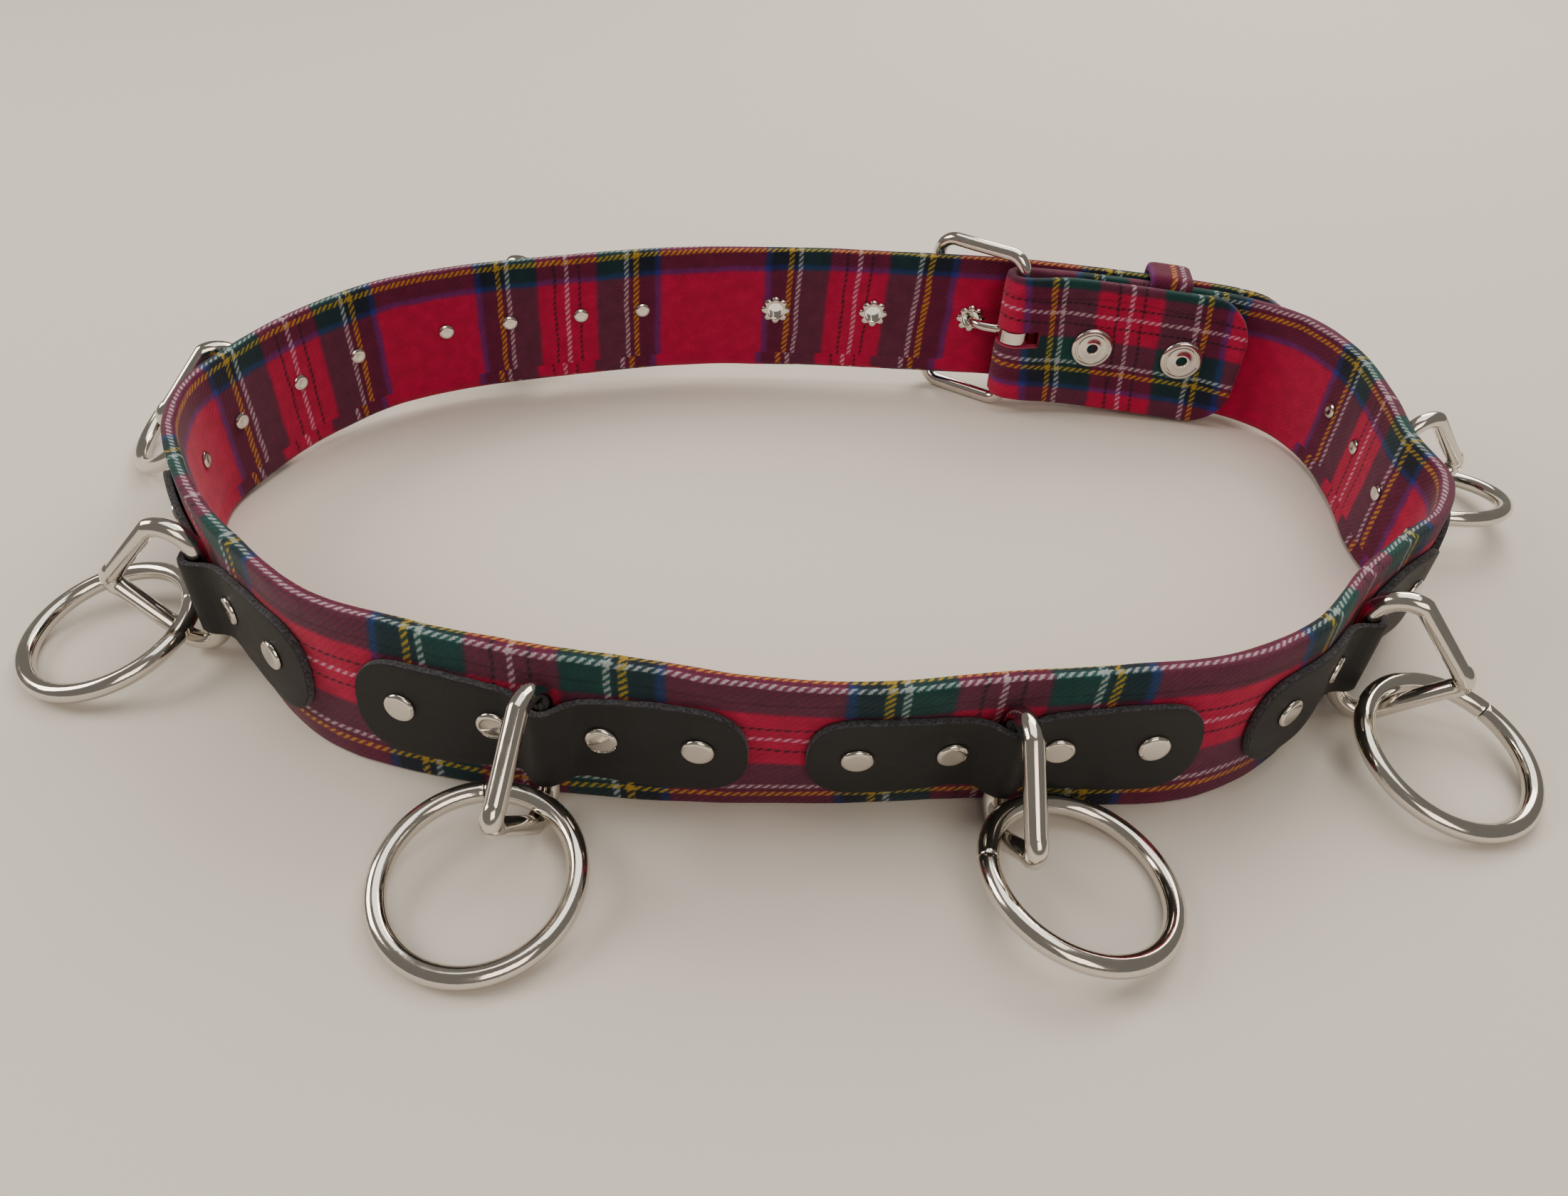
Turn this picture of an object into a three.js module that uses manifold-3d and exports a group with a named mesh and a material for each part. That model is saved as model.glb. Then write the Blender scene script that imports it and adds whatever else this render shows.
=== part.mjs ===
// Tartan belt with O-rings, fastened and lying on its lower edge, buckle at the back.
// One cloth-covered strap makes the loop. Seven leather tabs are riveted to its outside,
// and each tab bulges over the straight bar of a D-ring that carries an O-ring.
// Millimetres, +Z up. The origin is on the surface, below the middle of the belt's box.
// Distance along the strap is measured from the hinge bar of the buckle.

import * as THREE from 'three';
import { mergeVertices } from 'three/addons/utils/BufferGeometryUtils.js';
import Module from 'manifold-3d';

const wasm = await Module();
wasm.setup();

const GAP = 0.35;

// Middle of the belt's box in the coordinates of the tables
const PLAN_CENTRE = { x: 9.5, y: 257 };

// Strap
const STRAP_HEIGHT = 44.5;
const STRAP_THICKNESS = 4.2;
const FLAP_THICKNESS = 3.4;
const STRAP_CELL = 7.5;
const THINNING_LENGTH = 10;
const TIP_RADIUS = 20;
const FLAP_END_RADIUS = 16;
const SAMPLES_PER_ROW = 16;

// Run of the strap's middle line at its top edge, clockwise seen from above.
// lift: bottom edge above the surface. lean: bottom edge outside the top edge.
const STRAP_RUN = [
  { x: 76, y: 362.3, lift: 7.5, lean: 0 },
  { x: 101, y: 362.3, lift: 6.3, lean: 0 },
  { x: 126, y: 360.8, lift: 4.8, lean: 0 },
  { x: 151, y: 357.2, lift: 3.4, lean: 0 },
  { x: 171, y: 347, lift: 2, lean: 0 },
  { x: 180.3, y: 326, lift: 1.3, lean: 0 },
  { x: 181.2, y: 302, lift: 0.7, lean: 0 },
  { x: 179.4, y: 278, lift: 0, lean: 0 },
  { x: 180.6, y: 257.5, lift: 0, lean: 0 },
  { x: 172.2, y: 240.7, lift: 0, lean: 0 },
  { x: 157, y: 226.8, lift: 0, lean: 0 },
  { x: 141.9, y: 212, lift: 0, lean: 0 },
  { x: 124.9, y: 192.6, lift: 0, lean: 1 },
  { x: 101.3, y: 178.8, lift: 0, lean: 2 },
  { x: 75.1, y: 173.1, lift: 0, lean: 0.5 },
  { x: 49, y: 169.1, lift: 0, lean: -4 },
  { x: 22.9, y: 163.9, lift: 0, lean: -6 },
  { x: -3.8, y: 163.5, lift: 0, lean: -4.5 },
  { x: -30.2, y: 167.1, lift: 0, lean: 0 },
  { x: -56.4, y: 170.3, lift: 0, lean: 2 },
  { x: -82.5, y: 175.4, lift: 0, lean: 4 },
  { x: -108.2, y: 183.5, lift: 0, lean: 4 },
  { x: -129.3, y: 199.5, lift: 0, lean: 2 },
  { x: -148.3, y: 218, lift: 0, lean: 0 },
  { x: -161, y: 235.5, lift: 0, lean: 0 },
  { x: -170.3, y: 253.5, lift: 0, lean: 0 },
  { x: -173.2, y: 272, lift: 0.5, lean: 0 },
  { x: -167.6, y: 290, lift: 1.5, lean: 0 },
  { x: -160, y: 305.5, lift: 2.5, lean: 0 },
  { x: -149.5, y: 319.5, lift: 3.5, lean: 0 },
  { x: -137.3, y: 331.2, lift: 4.5, lean: 0 },
  { x: -121.4, y: 340.2, lift: 5.2, lean: 0 },
  { x: -104, y: 347.1, lift: 5.8, lean: 0 },
  { x: -86.2, y: 352.8, lift: 6.2, lean: 0 },
  { x: -68.2, y: 358.1, lift: 6.6, lean: 0 },
  { x: -50.1, y: 363.1, lift: 6.8, lean: 0 },
  { x: -31.9, y: 366.4, lift: 7, lean: 0 },
  { x: -13.2, y: 368, lift: 7.2, lean: 0 },
  { x: 5.6, y: 368.7, lift: 7.5, lean: 0 },
  { x: 24.4, y: 369.1, lift: 7.5, lean: 0 },
  { x: 48, y: 369.3, lift: 7.5, lean: 0 },
  { x: 76, y: 369.3, lift: 7.3, lean: 0 },
  { x: 101, y: 368.3, lift: 6.3, lean: 0 },
  { x: 126.6, y: 366.8, lift: 4.8, lean: 0 },
  { x: 152.6, y: 363.1, lift: 3.4, lean: 0 },
  { x: 174.6, y: 352, lift: 2, lean: 0 },
];

// Leather tabs: shape at a distance from the tab's middle along the strap.
// halfHeight: outline. bulge: inner face above the strap, where the ring's bar passes.
const TAB_THICKNESS = 2;
const TAB_GAP = 0.7;
const TAB_PROFILE = [
  { along: 0, halfHeight: 11.3, bulge: 6.3 },
  { along: 4, halfHeight: 11.3, bulge: 3.9 },
  { along: 6, halfHeight: 11.3, bulge: 2 },
  { along: 8.5, halfHeight: 11.6, bulge: 0.85 },
  { along: 11, halfHeight: 12, bulge: 0.7 },
  { along: 25, halfHeight: 13.3, bulge: 0.7 },
  { along: 33, halfHeight: 13.3, bulge: 0.7 },
  { along: 39, halfHeight: 12.1, bulge: 0.7 },
  { along: 42.5, halfHeight: 10.1, bulge: 0.7 },
  { along: 44.2, halfHeight: 7.4, bulge: 0.7 },
  { along: 45, halfHeight: 3.8, bulge: 0.7 },
];

// Rings
const WIRE_RADIUS = 2.5;
const O_RING_RADIUS = 21.5;
const D_HALF_HEIGHT = 18.5;
const D_DEPTH = 26;
const D_CORNER_RADIUS = 7.5;
const D_TIP_RADIUS = 3.2;
const BAR_STAND_OFF = 2.85;
const WIRE_SIDES = 6;
const O_RING_CELLS = 18;
const REST_GAP = 0.05;
const BEND_CELLS = { tip: 4, corner: 5, frame: 4, oblong: 3 };

// Tabs and rings, from the right of the buckle round the front to the left of it.
// station: middle of the tab along the strap. swing: D-ring turned about its bar from
// straight out. drop: D-ring slid down in its tab. ringX, ringY: middle of the O-ring.
// tilt: its slope. uphill: the way it rises, counterclockwise from +X.
const TABS = [
  { station: 156.5, swing: 25.2, drop: 0, ringX: 210.1, ringY: 303.2, tilt: 13.6, uphill: 276.2 },
  { station: 251.2, swing: 19.3, drop: 0, ringX: 167.1, ringY: 187.4, tilt: 13.6, uphill: 126.9 },
  { station: 354.8, swing: 3.8, drop: 0, ringX: 68.5, ringY: 144.7, tilt: 11.8, uphill: 193.7 },
  { station: 458.2, swing: -7.8, drop: 0, ringX: -62.6, ringY: 137.1, tilt: 9.6, uphill: 78.6 },
  { station: 561.5, swing: -46.6, drop: 0, ringX: -176.7, ringY: 207.2, tilt: 11.9, uphill: 31.6 },
  { station: 656, swing: 57, drop: 0, ringX: -195.1, ringY: 300.4, tilt: 37.3, uphill: 19.8 },
  { station: 755, swing: 53.8, drop: 1.5, ringX: -108.1, ringY: 377.6, tilt: 24.5, uphill: -45.6 },
];

// Rivets of the tabs. RIVET_RISE: their height above the middle of the strap.
const RIVET_ALONG = [-34, -12.3, 12.3, 34];
const RIVET_CAP_RADIUS = 3.9;
const RIVET_CAP_HEIGHT = 1.3;
const RIVET_CAP_SHOULDER = 0.7;
const RIVET_SHANK_RADIUS = 1.4;
const RIVET_BACK_RADIUS = 2.4;
const RIVET_BACK_HEIGHT = 0.7;
const RIVET_HOLE_RADIUS = 2.3;
const RIVET_HOLE_SIDES = 5;
const RIVET_GAP = 0.6;
const RIVET_SIDES = 6;
const RIVET_RISE = 1;

// Buckle, in the coordinates of the strap's table
const HINGE_BAR = { x: 76, y: 357.85 };
const END_BAR = { x: 48.5, y: 374.05 };
const FRAME_HALF_HEIGHT = 27.4;
const FRAME_WIRE_RADIUS = 2.3;
const FRAME_CORNER_RADIUS = 6;
const BUCKLE_LIFT = 7.5;
const BUCKLE_MIDDLE = BUCKLE_LIFT + STRAP_HEIGHT / 2;
const FOLD_RADIUS = 4.45;
const FOLD_CELLS = 6;
const FOLD_LENGTH = Math.PI * FOLD_RADIUS;
const SLOT = { xMin: 64, xMax: 84.5, yMin: 350, yMax: 366, halfHeight: 3 };
const PRONG_RADIUS = 1.6;
const PRONG_SIDES = 6;
const PRONG_CELLS = 18;
const PRONG_ROLL = { inner: 2.65, outer: 5.6, height: 5.2, sides: 12 };
const PRONG_RUN = [
  { x: 72.2, y: 360.3 },
  { x: 68.3, y: 361 },
  { x: 64.6, y: 362.4 },
  { x: 62.2, y: 365.6 },
  { x: 61.7, y: 369.5 },
  { x: 60.8, y: 373.6 },
  { x: 57.8, y: 376.9 },
  { x: 53, y: 378.4 },
  { x: 46, y: 378.7 },
];

// Flap: the strap's own end, folded round the hinge bar and riveted to the main strap
const FLAP_LENGTH = 82;
const FLAP_HEIGHT = 47.5;
const FLAP_DROOP = 1.2;
const FLAP_OFFSET = { atFold: 8.9, atEnd: 5.9, easedBy: 18 };
const FLAP_RIVETS = [28, 60];
const FLAP_RIVET = { flange: 7.25, shank: 2.5, hollow: 1.6, cap: 3.3, hole: 3, rise: -1.1, sides: 10 };
const FLAP_RIVET_GAP = { flange: 0.7, cap: 0.3 };
const FLAP_RIVET_HEIGHT = { flange: 1.2, cap: 0.5 };

// Keeper: a loop of covered strap round the main strap and the free end
const KEEPER = {
  station: 49.6,
  width: 14.5,
  innerRun: 1.2,
  outerRun: 2.2,
  edgeRun: 3,
  corner: 2.4,
  innerCorner: 0.6,
};
const FREE_END_OFFSET = 6;
const KEEPER_ROOM = 1.4;
const KEEPER_GAP = 0.45;

// How far holes are cut inward and outward from the strap's middle
const CUT = {
  rivet: { from: -3.5, to: 3.5 },
  tab: { from: 0, to: 6 },
  flapRivet: { from: -9, to: 3, sides: 8 },
  eyelet: { from: -2.9, to: 3.5 },
};

// Eyelets of the free end, by distance along the strap
const EYELETS = [837, 872.2, 907.4, 942.5, 977.7];
const EYELET = { hole: 2.85, spool: 3.3, flange: 4.6, strapHole: 3.75, outer: 0.6, inner: 0.4, sides: 8 };

const nickel = new THREE.MeshStandardMaterial({ color: '#c9c6c0', metalness: 1, roughness: 0.22 });
const leather = new THREE.MeshStandardMaterial({ color: '#232122', metalness: 0, roughness: 0.62 });
const tartan = new THREE.MeshStandardMaterial({ color: '#a5122b', metalness: 0, roughness: 0.9 });

/** Middle line of the strap: smooth through the rows of its table, read by distance. */
class StrapRun {
  constructor(rows) {
    this.rows = rows.map((row) => [row.x - PLAN_CENTRE.x, row.y - PLAN_CENTRE.y, row.lift, row.lean]);
    this.spans = this.rows.slice(1).map((row, i) => (
      Math.hypot(row[0] - this.rows[i][0], row[1] - this.rows[i][1])
    ));
    this.slopes = this.rows.map((row, i) => row.map((value, axis) => this.slopeAt(i, axis)));
    this.distances = [0];
    let last = this.rows[0];
    for (let i = 0; i < this.spans.length * SAMPLES_PER_ROW; i++) {
      const along = (i + 1) / SAMPLES_PER_ROW;
      const next = this.pointOn(Math.floor(along), along % 1);
      this.distances.push(this.distances[i] + Math.hypot(next[0] - last[0], next[1] - last[1]));
      last = next;
    }
    this.length = this.distances.at(-1);
  }

  slopeAt(i, axis) {
    const slope = (from) => (this.rows[from + 1][axis] - this.rows[from][axis]) / this.spans[from];
    const before = i > 0 ? slope(i - 1) : null;
    const after = i < this.spans.length ? slope(i) : null;
    if (before === null) return after;
    if (after === null) return before;
    return (after * this.spans[i - 1] + before * this.spans[i]) / (this.spans[i - 1] + this.spans[i]);
  }

  pointOn(row, t) {
    if (row === this.spans.length) return this.rows[row];
    const start = this.rows[row];
    const end = this.rows[row + 1];
    const reach = this.spans[row];
    const weights = [
      2 * t ** 3 - 3 * t ** 2 + 1,
      t ** 3 - 2 * t ** 2 + t,
      3 * t ** 2 - 2 * t ** 3,
      t ** 3 - t ** 2,
    ];
    return start.map((value, axis) => {
      const slopes = [this.slopes[row][axis] * reach, this.slopes[row + 1][axis] * reach];
      return value * weights[0] + slopes[0] * weights[1] + end[axis] * weights[2] + slopes[1] * weights[3];
    });
  }

  /** Row values, direction of travel and outward direction at a distance. */
  at(distance) {
    const d = THREE.MathUtils.clamp(distance, 0, this.length);
    let i = this.distances.findIndex((value) => value > d) - 1;
    if (i < 0) i = this.distances.length - 2;
    const share = (d - this.distances[i]) / (this.distances[i + 1] - this.distances[i]);
    const along = (i + share) / SAMPLES_PER_ROW;
    const row = Math.min(Math.floor(along), this.spans.length - 1);
    const [x, y, lift, lean] = this.pointOn(row, along - row);
    const near = this.pointOn(row, along - row - 1e-3);
    const far = this.pointOn(row, along - row + 1e-3);
    const travel = new THREE.Vector3(far[0] - near[0], far[1] - near[1], 0).normalize();
    return { x, y, lift: Math.max(0, lift), lean, travel, out: new THREE.Vector3(-travel.y, travel.x, 0) };
  }

  /** Point at a distance, an offset outward and a height above the strap's bottom edge. */
  point(distance, offset, height) {
    const here = this.at(distance);
    const across = offset + here.lean * (1 - height / STRAP_HEIGHT);
    return new THREE.Vector3(here.x + here.out.x * across, here.y + here.out.y * across, here.lift + height);
  }

  /** Frame square to the leaning wall at a distance: travel, outward and up. */
  frame(distance) {
    const middle = STRAP_HEIGHT / 2;
    const up = this.point(distance, 0, STRAP_HEIGHT).sub(this.point(distance, 0, 0)).normalize();
    const travel = this.point(distance + 0.5, 0, middle).sub(this.point(distance - 0.5, 0, middle));
    const out = up.clone().cross(travel).normalize();
    return { travel: out.clone().cross(up), out, up };
  }
}

const run = new StrapRun(STRAP_RUN);

/** Leaves only merged positions, so that the geometry is one closed body. */
function closed(geometry) {
  geometry.deleteAttribute('normal');
  geometry.deleteAttribute('uv');
  return mergeVertices(geometry, 1e-4);
}

function toSolid(geometry) {
  const body = closed(geometry.clone());
  return new wasm.Manifold(new wasm.Mesh({
    numProp: 3,
    vertProperties: new Float32Array(body.attributes.position.array),
    triVerts: new Uint32Array(body.index.array),
  }));
}

function toGeometry(solid) {
  const mesh = solid.getMesh();
  const geometry = new THREE.BufferGeometry();
  geometry.setAttribute('position', new THREE.BufferAttribute(new Float32Array(mesh.vertProperties), 3));
  geometry.setIndex(new THREE.BufferAttribute(new Uint32Array(mesh.triVerts), 1));
  return geometry;
}

function cut(geometry, cutters) {
  return toGeometry(cutters.reduce((solid, cutter) => solid.subtract(toSolid(cutter)), toSolid(geometry)));
}

/** A box with one cell per station; corner puts each of its corners (sides are -1 or 1). */
function bentStrip(stations, corner) {
  const cells = stations.length - 1;
  const strip = new THREE.BoxGeometry(cells, 2, 2, cells, 1, 1);
  const position = strip.attributes.position;
  for (let i = 0; i < position.count; i++) {
    const station = stations[Math.round(position.getX(i) + cells / 2)];
    const point = corner(station, Math.sign(position.getY(i)), Math.sign(position.getZ(i)));
    position.setXYZ(i, point.x, point.y, point.z);
  }
  return strip;
}

/** A torus laid along a closed flat outline of { across, up, turn } points. */
function closedWire(outline, radius) {
  const cells = outline.length;
  const wire = new THREE.TorusGeometry(1, 0.5, WIRE_SIDES, cells);
  const position = wire.attributes.position;
  for (let i = 0; i < position.count; i++) {
    const place = outline[(i % (cells + 1)) % cells];
    const turn = (Math.floor(i / (cells + 1)) / WIRE_SIDES) * Math.PI * 2;
    const reach = radius * Math.cos(turn);
    const across = place.across + reach * Math.cos(place.turn);
    const up = place.up + reach * Math.sin(place.turn);
    position.setXYZ(i, across, up, radius * Math.sin(turn));
  }
  return closed(wire);
}

/** Points round an arc, with the turn that each faces. */
function arcPoints(across, up, radius, from, to, cells) {
  return Array.from({ length: cells + 1 }, (_, i) => {
    const turn = from + ((to - from) * i) / cells;
    return { across: across + radius * Math.cos(turn), up: up + radius * Math.sin(turn), turn };
  });
}

/** Pin along +Z with the given profile of [radius, height] pairs. */
function turned(profile, sides) {
  const points = profile.map(([radius, height]) => new THREE.Vector2(radius, height));
  return toGeometry(toSolid(new THREE.LatheGeometry(points, sides).rotateX(Math.PI / 2)));
}

function pin(radius, from, to, sides) {
  return turned([[0, from], [radius, from], [radius, to], [0, to]], sides);
}

/** Matrix that puts +Z outward through the strap at a distance, at a rise above mid height. */
function throughStrap(distance, rise = 0) {
  const { travel, out, up } = run.frame(distance);
  const matrix = new THREE.Matrix4().makeBasis(up, travel, out);
  return matrix.setPosition(run.point(distance, 0, STRAP_HEIGHT / 2 + rise));
}

function named(name, geometry, material, matrix = new THREE.Matrix4()) {
  const mesh = new THREE.Mesh(geometry, material);
  mesh.name = name;
  mesh.applyMatrix4(matrix);
  return mesh;
}

/** What a round end takes off the half height at a distance from it. */
function endLoss(fromEnd, radius) {
  const inside = Math.max(0, radius - fromEnd);
  return radius - Math.sqrt(radius ** 2 - inside ** 2);
}

function endStations(radius) {
  return [0, 1, 2, 3].map((i) => radius * (1 - Math.cos((i * Math.PI) / 6)));
}

/** Share of the flap's growth at a distance below zero: 0 at the main strap, 1 along the flap. */
function flapShare(distance) {
  return THREE.MathUtils.smoothstep(-distance, 0, FOLD_LENGTH + FLAP_OFFSET.easedBy);
}

/** Middle line and outward direction of the flap and fold, for distances below zero. */
function flapPlace(distance) {
  const bar = new THREE.Vector3(HINGE_BAR.x - PLAN_CENTRE.x, HINGE_BAR.y - PLAN_CENTRE.y, 0);
  const droop = FLAP_DROOP * flapShare(distance);
  if (distance > -FOLD_LENGTH) {
    const turn = Math.PI / 2 - distance / FOLD_RADIUS;
    const out = new THREE.Vector3(Math.cos(turn), Math.sin(turn), 0);
    return { middle: bar.addScaledVector(out, FOLD_RADIUS).setZ(BUCKLE_MIDDLE - droop), out };
  }
  const along = -FOLD_LENGTH - distance;
  const here = run.at(along);
  const ease = THREE.MathUtils.smoothstep(along, 0, FLAP_OFFSET.easedBy);
  const offset = THREE.MathUtils.lerp(FLAP_OFFSET.atFold, FLAP_OFFSET.atEnd, ease);
  const height = here.lift + STRAP_HEIGHT / 2 - droop;
  const middle = new THREE.Vector3(here.x, here.y, height).addScaledVector(here.out, -offset);
  return { middle, out: here.out.clone().negate() };
}

function strapGeometry() {
  const flapTip = -FOLD_LENGTH - FLAP_LENGTH;
  const cellsBetween = (from, to) => {
    const cells = Math.ceil((to - from) / STRAP_CELL);
    return Array.from({ length: cells }, (_, i) => from + ((to - from) * i) / cells);
  };
  const stations = [
    ...endStations(FLAP_END_RADIUS).slice(0, -1).map((d) => flapTip + d),
    ...cellsBetween(flapTip + FLAP_END_RADIUS, -FOLD_LENGTH),
    ...Array.from({ length: FOLD_CELLS }, (_, i) => FOLD_LENGTH * (i / FOLD_CELLS - 1)),
    ...cellsBetween(0, run.length - TIP_RADIUS),
    ...endStations(TIP_RADIUS).reverse().map((d) => run.length - d),
  ];
  const strip = bentStrip(stations, (distance, side, edge) => {
    if (distance < 0) {
      const { middle, out } = flapPlace(distance);
      const full = THREE.MathUtils.lerp(STRAP_HEIGHT, FLAP_HEIGHT, flapShare(distance)) / 2;
      const half = full - endLoss(distance - flapTip, FLAP_END_RADIUS);
      return middle.addScaledVector(out, (side * FLAP_THICKNESS) / 2).setZ(middle.z + edge * half);
    }
    const share = Math.min(1, distance / THINNING_LENGTH);
    const thickness = THREE.MathUtils.lerp(FLAP_THICKNESS, STRAP_THICKNESS, share);
    const half = STRAP_HEIGHT / 2 - endLoss(run.length - distance, TIP_RADIUS);
    return run.point(distance, (side * thickness) / 2, STRAP_HEIGHT / 2 + edge * half);
  });
  return cut(strip, strapCutters());
}

/** Pin that cuts a hole through the strap at a distance along it. */
function hole(radius, reach, sides, distance, rise) {
  return pin(radius, reach.from, reach.to, sides).applyMatrix4(throughStrap(distance, rise));
}

function strapCutters() {
  const cutters = [
    ...TABS.flatMap((tab) => RIVET_ALONG.map((along) => (
      hole(RIVET_HOLE_RADIUS, CUT.rivet, RIVET_HOLE_SIDES, tab.station + along, RIVET_RISE)
    ))),
    ...FLAP_RIVETS.map((distance) => (
      hole(FLAP_RIVET.hole, CUT.flapRivet, CUT.flapRivet.sides, distance, FLAP_RIVET.rise)
    )),
    ...EYELETS.map((distance) => hole(EYELET.strapHole, CUT.eyelet, EYELET.sides, distance)),
  ];
  const slot = new THREE.BoxGeometry(SLOT.xMax - SLOT.xMin, SLOT.yMax - SLOT.yMin, 2 * SLOT.halfHeight);
  slot.translate(
    (SLOT.xMax + SLOT.xMin) / 2 - PLAN_CENTRE.x,
    (SLOT.yMax + SLOT.yMin) / 2 - PLAN_CENTRE.y,
    BUCKLE_MIDDLE,
  );
  cutters.push(slot);
  return cutters;
}

/** Value of a tab's column at a distance from its middle, between the rows. */
function tabValue(along, column) {
  const reach = Math.abs(along);
  const after = Math.max(1, TAB_PROFILE.findIndex((row) => row.along >= reach));
  const [low, high] = [TAB_PROFILE[after - 1], TAB_PROFILE[after]];
  return THREE.MathUtils.mapLinear(reach, low.along, high.along, low[column], high[column]);
}

function tabGeometry(tab) {
  const half = TAB_PROFILE.map((row) => row.along);
  const stations = [...half.slice(1).reverse().map((along) => -along), ...half];
  const strip = bentStrip(stations, (along, side, edge) => {
    const offset = STRAP_THICKNESS / 2 + tabValue(along, 'bulge') + (side > 0 ? TAB_THICKNESS : 0);
    const height = STRAP_HEIGHT / 2 + edge * tabValue(along, 'halfHeight');
    return run.point(tab.station + along, offset, height);
  });
  const holes = RIVET_ALONG.map((along) => (
    hole(RIVET_HOLE_RADIUS, CUT.tab, RIVET_HOLE_SIDES, tab.station + along, RIVET_RISE)
  ));
  return cut(strip, holes);
}

/** Rivet through a tab and the strap: a low dome outside, a flat head inside. */
function rivetGeometry() {
  const outer = STRAP_THICKNESS / 2 + TAB_GAP + TAB_THICKNESS + RIVET_GAP;
  const inner = -STRAP_THICKNESS / 2 - RIVET_GAP;
  return turned([
    [0, inner - RIVET_BACK_HEIGHT],
    [RIVET_BACK_RADIUS, inner - RIVET_BACK_HEIGHT],
    [RIVET_BACK_RADIUS, inner],
    [RIVET_SHANK_RADIUS, inner],
    [RIVET_SHANK_RADIUS, outer],
    [RIVET_CAP_RADIUS, outer],
    [RIVET_CAP_RADIUS * RIVET_CAP_SHOULDER, outer + RIVET_CAP_HEIGHT * RIVET_CAP_SHOULDER],
    [0, outer + RIVET_CAP_HEIGHT],
  ], RIVET_SIDES);
}

/** D-ring outline: straight bar at across = 0, round corners, sides closing to the tip. */
function dRingOutline() {
  const corner = { across: D_CORNER_RADIUS, up: D_HALF_HEIGHT - D_CORNER_RADIUS };
  const tip = { across: D_DEPTH - D_TIP_RADIUS, up: 0 };
  const between = Math.hypot(tip.across - corner.across, corner.up);
  const slope = Math.atan2(corner.up, tip.across - corner.across);
  const side = Math.PI / 2 - slope + Math.asin((D_CORNER_RADIUS - D_TIP_RADIUS) / between);
  return [
    ...arcPoints(tip.across, 0, D_TIP_RADIUS, -side, side, BEND_CELLS.tip),
    ...arcPoints(corner.across, corner.up, D_CORNER_RADIUS, side, Math.PI, BEND_CELLS.corner),
    ...arcPoints(corner.across, -corner.up, D_CORNER_RADIUS, Math.PI, 2 * Math.PI - side, BEND_CELLS.corner),
  ];
}

/** Matrix of a D-ring: across its depth, up its bar, at the middle of the bar. */
function dRingMatrix(tab) {
  const { travel, out, up } = run.frame(tab.station);
  const swing = THREE.MathUtils.degToRad(tab.swing);
  const across = out.clone().applyAxisAngle(up, swing);
  const through = across.clone().cross(up);
  const matrix = new THREE.Matrix4().makeBasis(across, up, through);
  const middle = run.point(tab.station, 0, STRAP_HEIGHT / 2).addScaledVector(up, -tab.drop);
  return matrix.setPosition(middle.addScaledVector(out, STRAP_THICKNESS / 2 + BAR_STAND_OFF));
}

function oRingMatrix(tab) {
  const tilt = THREE.MathUtils.degToRad(tab.tilt);
  const uphill = THREE.MathUtils.degToRad(tab.uphill);
  const height = O_RING_RADIUS * Math.sin(tilt) + WIRE_RADIUS + REST_GAP;
  const turn = new THREE.Matrix4().makeRotationZ(uphill);
  turn.multiply(new THREE.Matrix4().makeRotationY(-tilt));
  return turn.setPosition(tab.ringX - PLAN_CENTRE.x, tab.ringY - PLAN_CENTRE.y, height);
}

/** Frame of the buckle: a rounded oblong of wire from the hinge bar to the end bar. */
function buckleFrame() {
  const reach = new THREE.Vector3(END_BAR.x - HINGE_BAR.x, END_BAR.y - HINGE_BAR.y, 0);
  const halfWidth = reach.length() / 2;
  const corner = { across: halfWidth - FRAME_CORNER_RADIUS, up: FRAME_HALF_HEIGHT - FRAME_CORNER_RADIUS };
  const quarter = Math.PI / 2;
  const outline = [0, 1, 2, 3].flatMap((i) => arcPoints(
    i === 0 || i === 3 ? corner.across : -corner.across,
    i < 2 ? corner.up : -corner.up,
    FRAME_CORNER_RADIUS, i * quarter, (i + 1) * quarter, BEND_CELLS.frame,
  ));
  const across = reach.clone().normalize();
  const up = new THREE.Vector3(0, 0, 1);
  const matrix = new THREE.Matrix4().makeBasis(across, up, across.clone().cross(up));
  const middle = new THREE.Vector3(HINGE_BAR.x - PLAN_CENTRE.x, HINGE_BAR.y - PLAN_CENTRE.y, BUCKLE_MIDDLE);
  return named('buckle_frame', closedWire(outline, FRAME_WIRE_RADIUS), nickel,
    matrix.setPosition(middle.addScaledVector(reach, 0.5)));
}

/** Prong: a roll round the hinge bar and a tongue through an eyelet over the end bar. */
function buckleProng() {
  const half = PRONG_ROLL.height / 2;
  const roll = turned([
    [PRONG_ROLL.inner, -half],
    [PRONG_ROLL.outer, -half],
    [PRONG_ROLL.outer, half],
    [PRONG_ROLL.inner, half],
    [PRONG_ROLL.inner, -half],
  ], PRONG_ROLL.sides);
  roll.translate(HINGE_BAR.x - PLAN_CENTRE.x, HINGE_BAR.y - PLAN_CENTRE.y, BUCKLE_MIDDLE);
  const path = new THREE.CatmullRomCurve3(PRONG_RUN.map((point) => (
    new THREE.Vector3(point.x - PLAN_CENTRE.x, point.y - PLAN_CENTRE.y, BUCKLE_MIDDLE)
  )));
  const round = arcPoints(0, 0, PRONG_RADIUS, 0, 2 * Math.PI * (1 - 1 / PRONG_SIDES), PRONG_SIDES - 1);
  const section = new THREE.Shape(round.map((point) => new THREE.Vector2(point.across, point.up)));
  const tongue = new THREE.ExtrudeGeometry(section, { steps: PRONG_CELLS, extrudePath: path });
  return named('buckle_prong', toGeometry(toSolid(roll).add(toSolid(tongue))), nickel);
}

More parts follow.
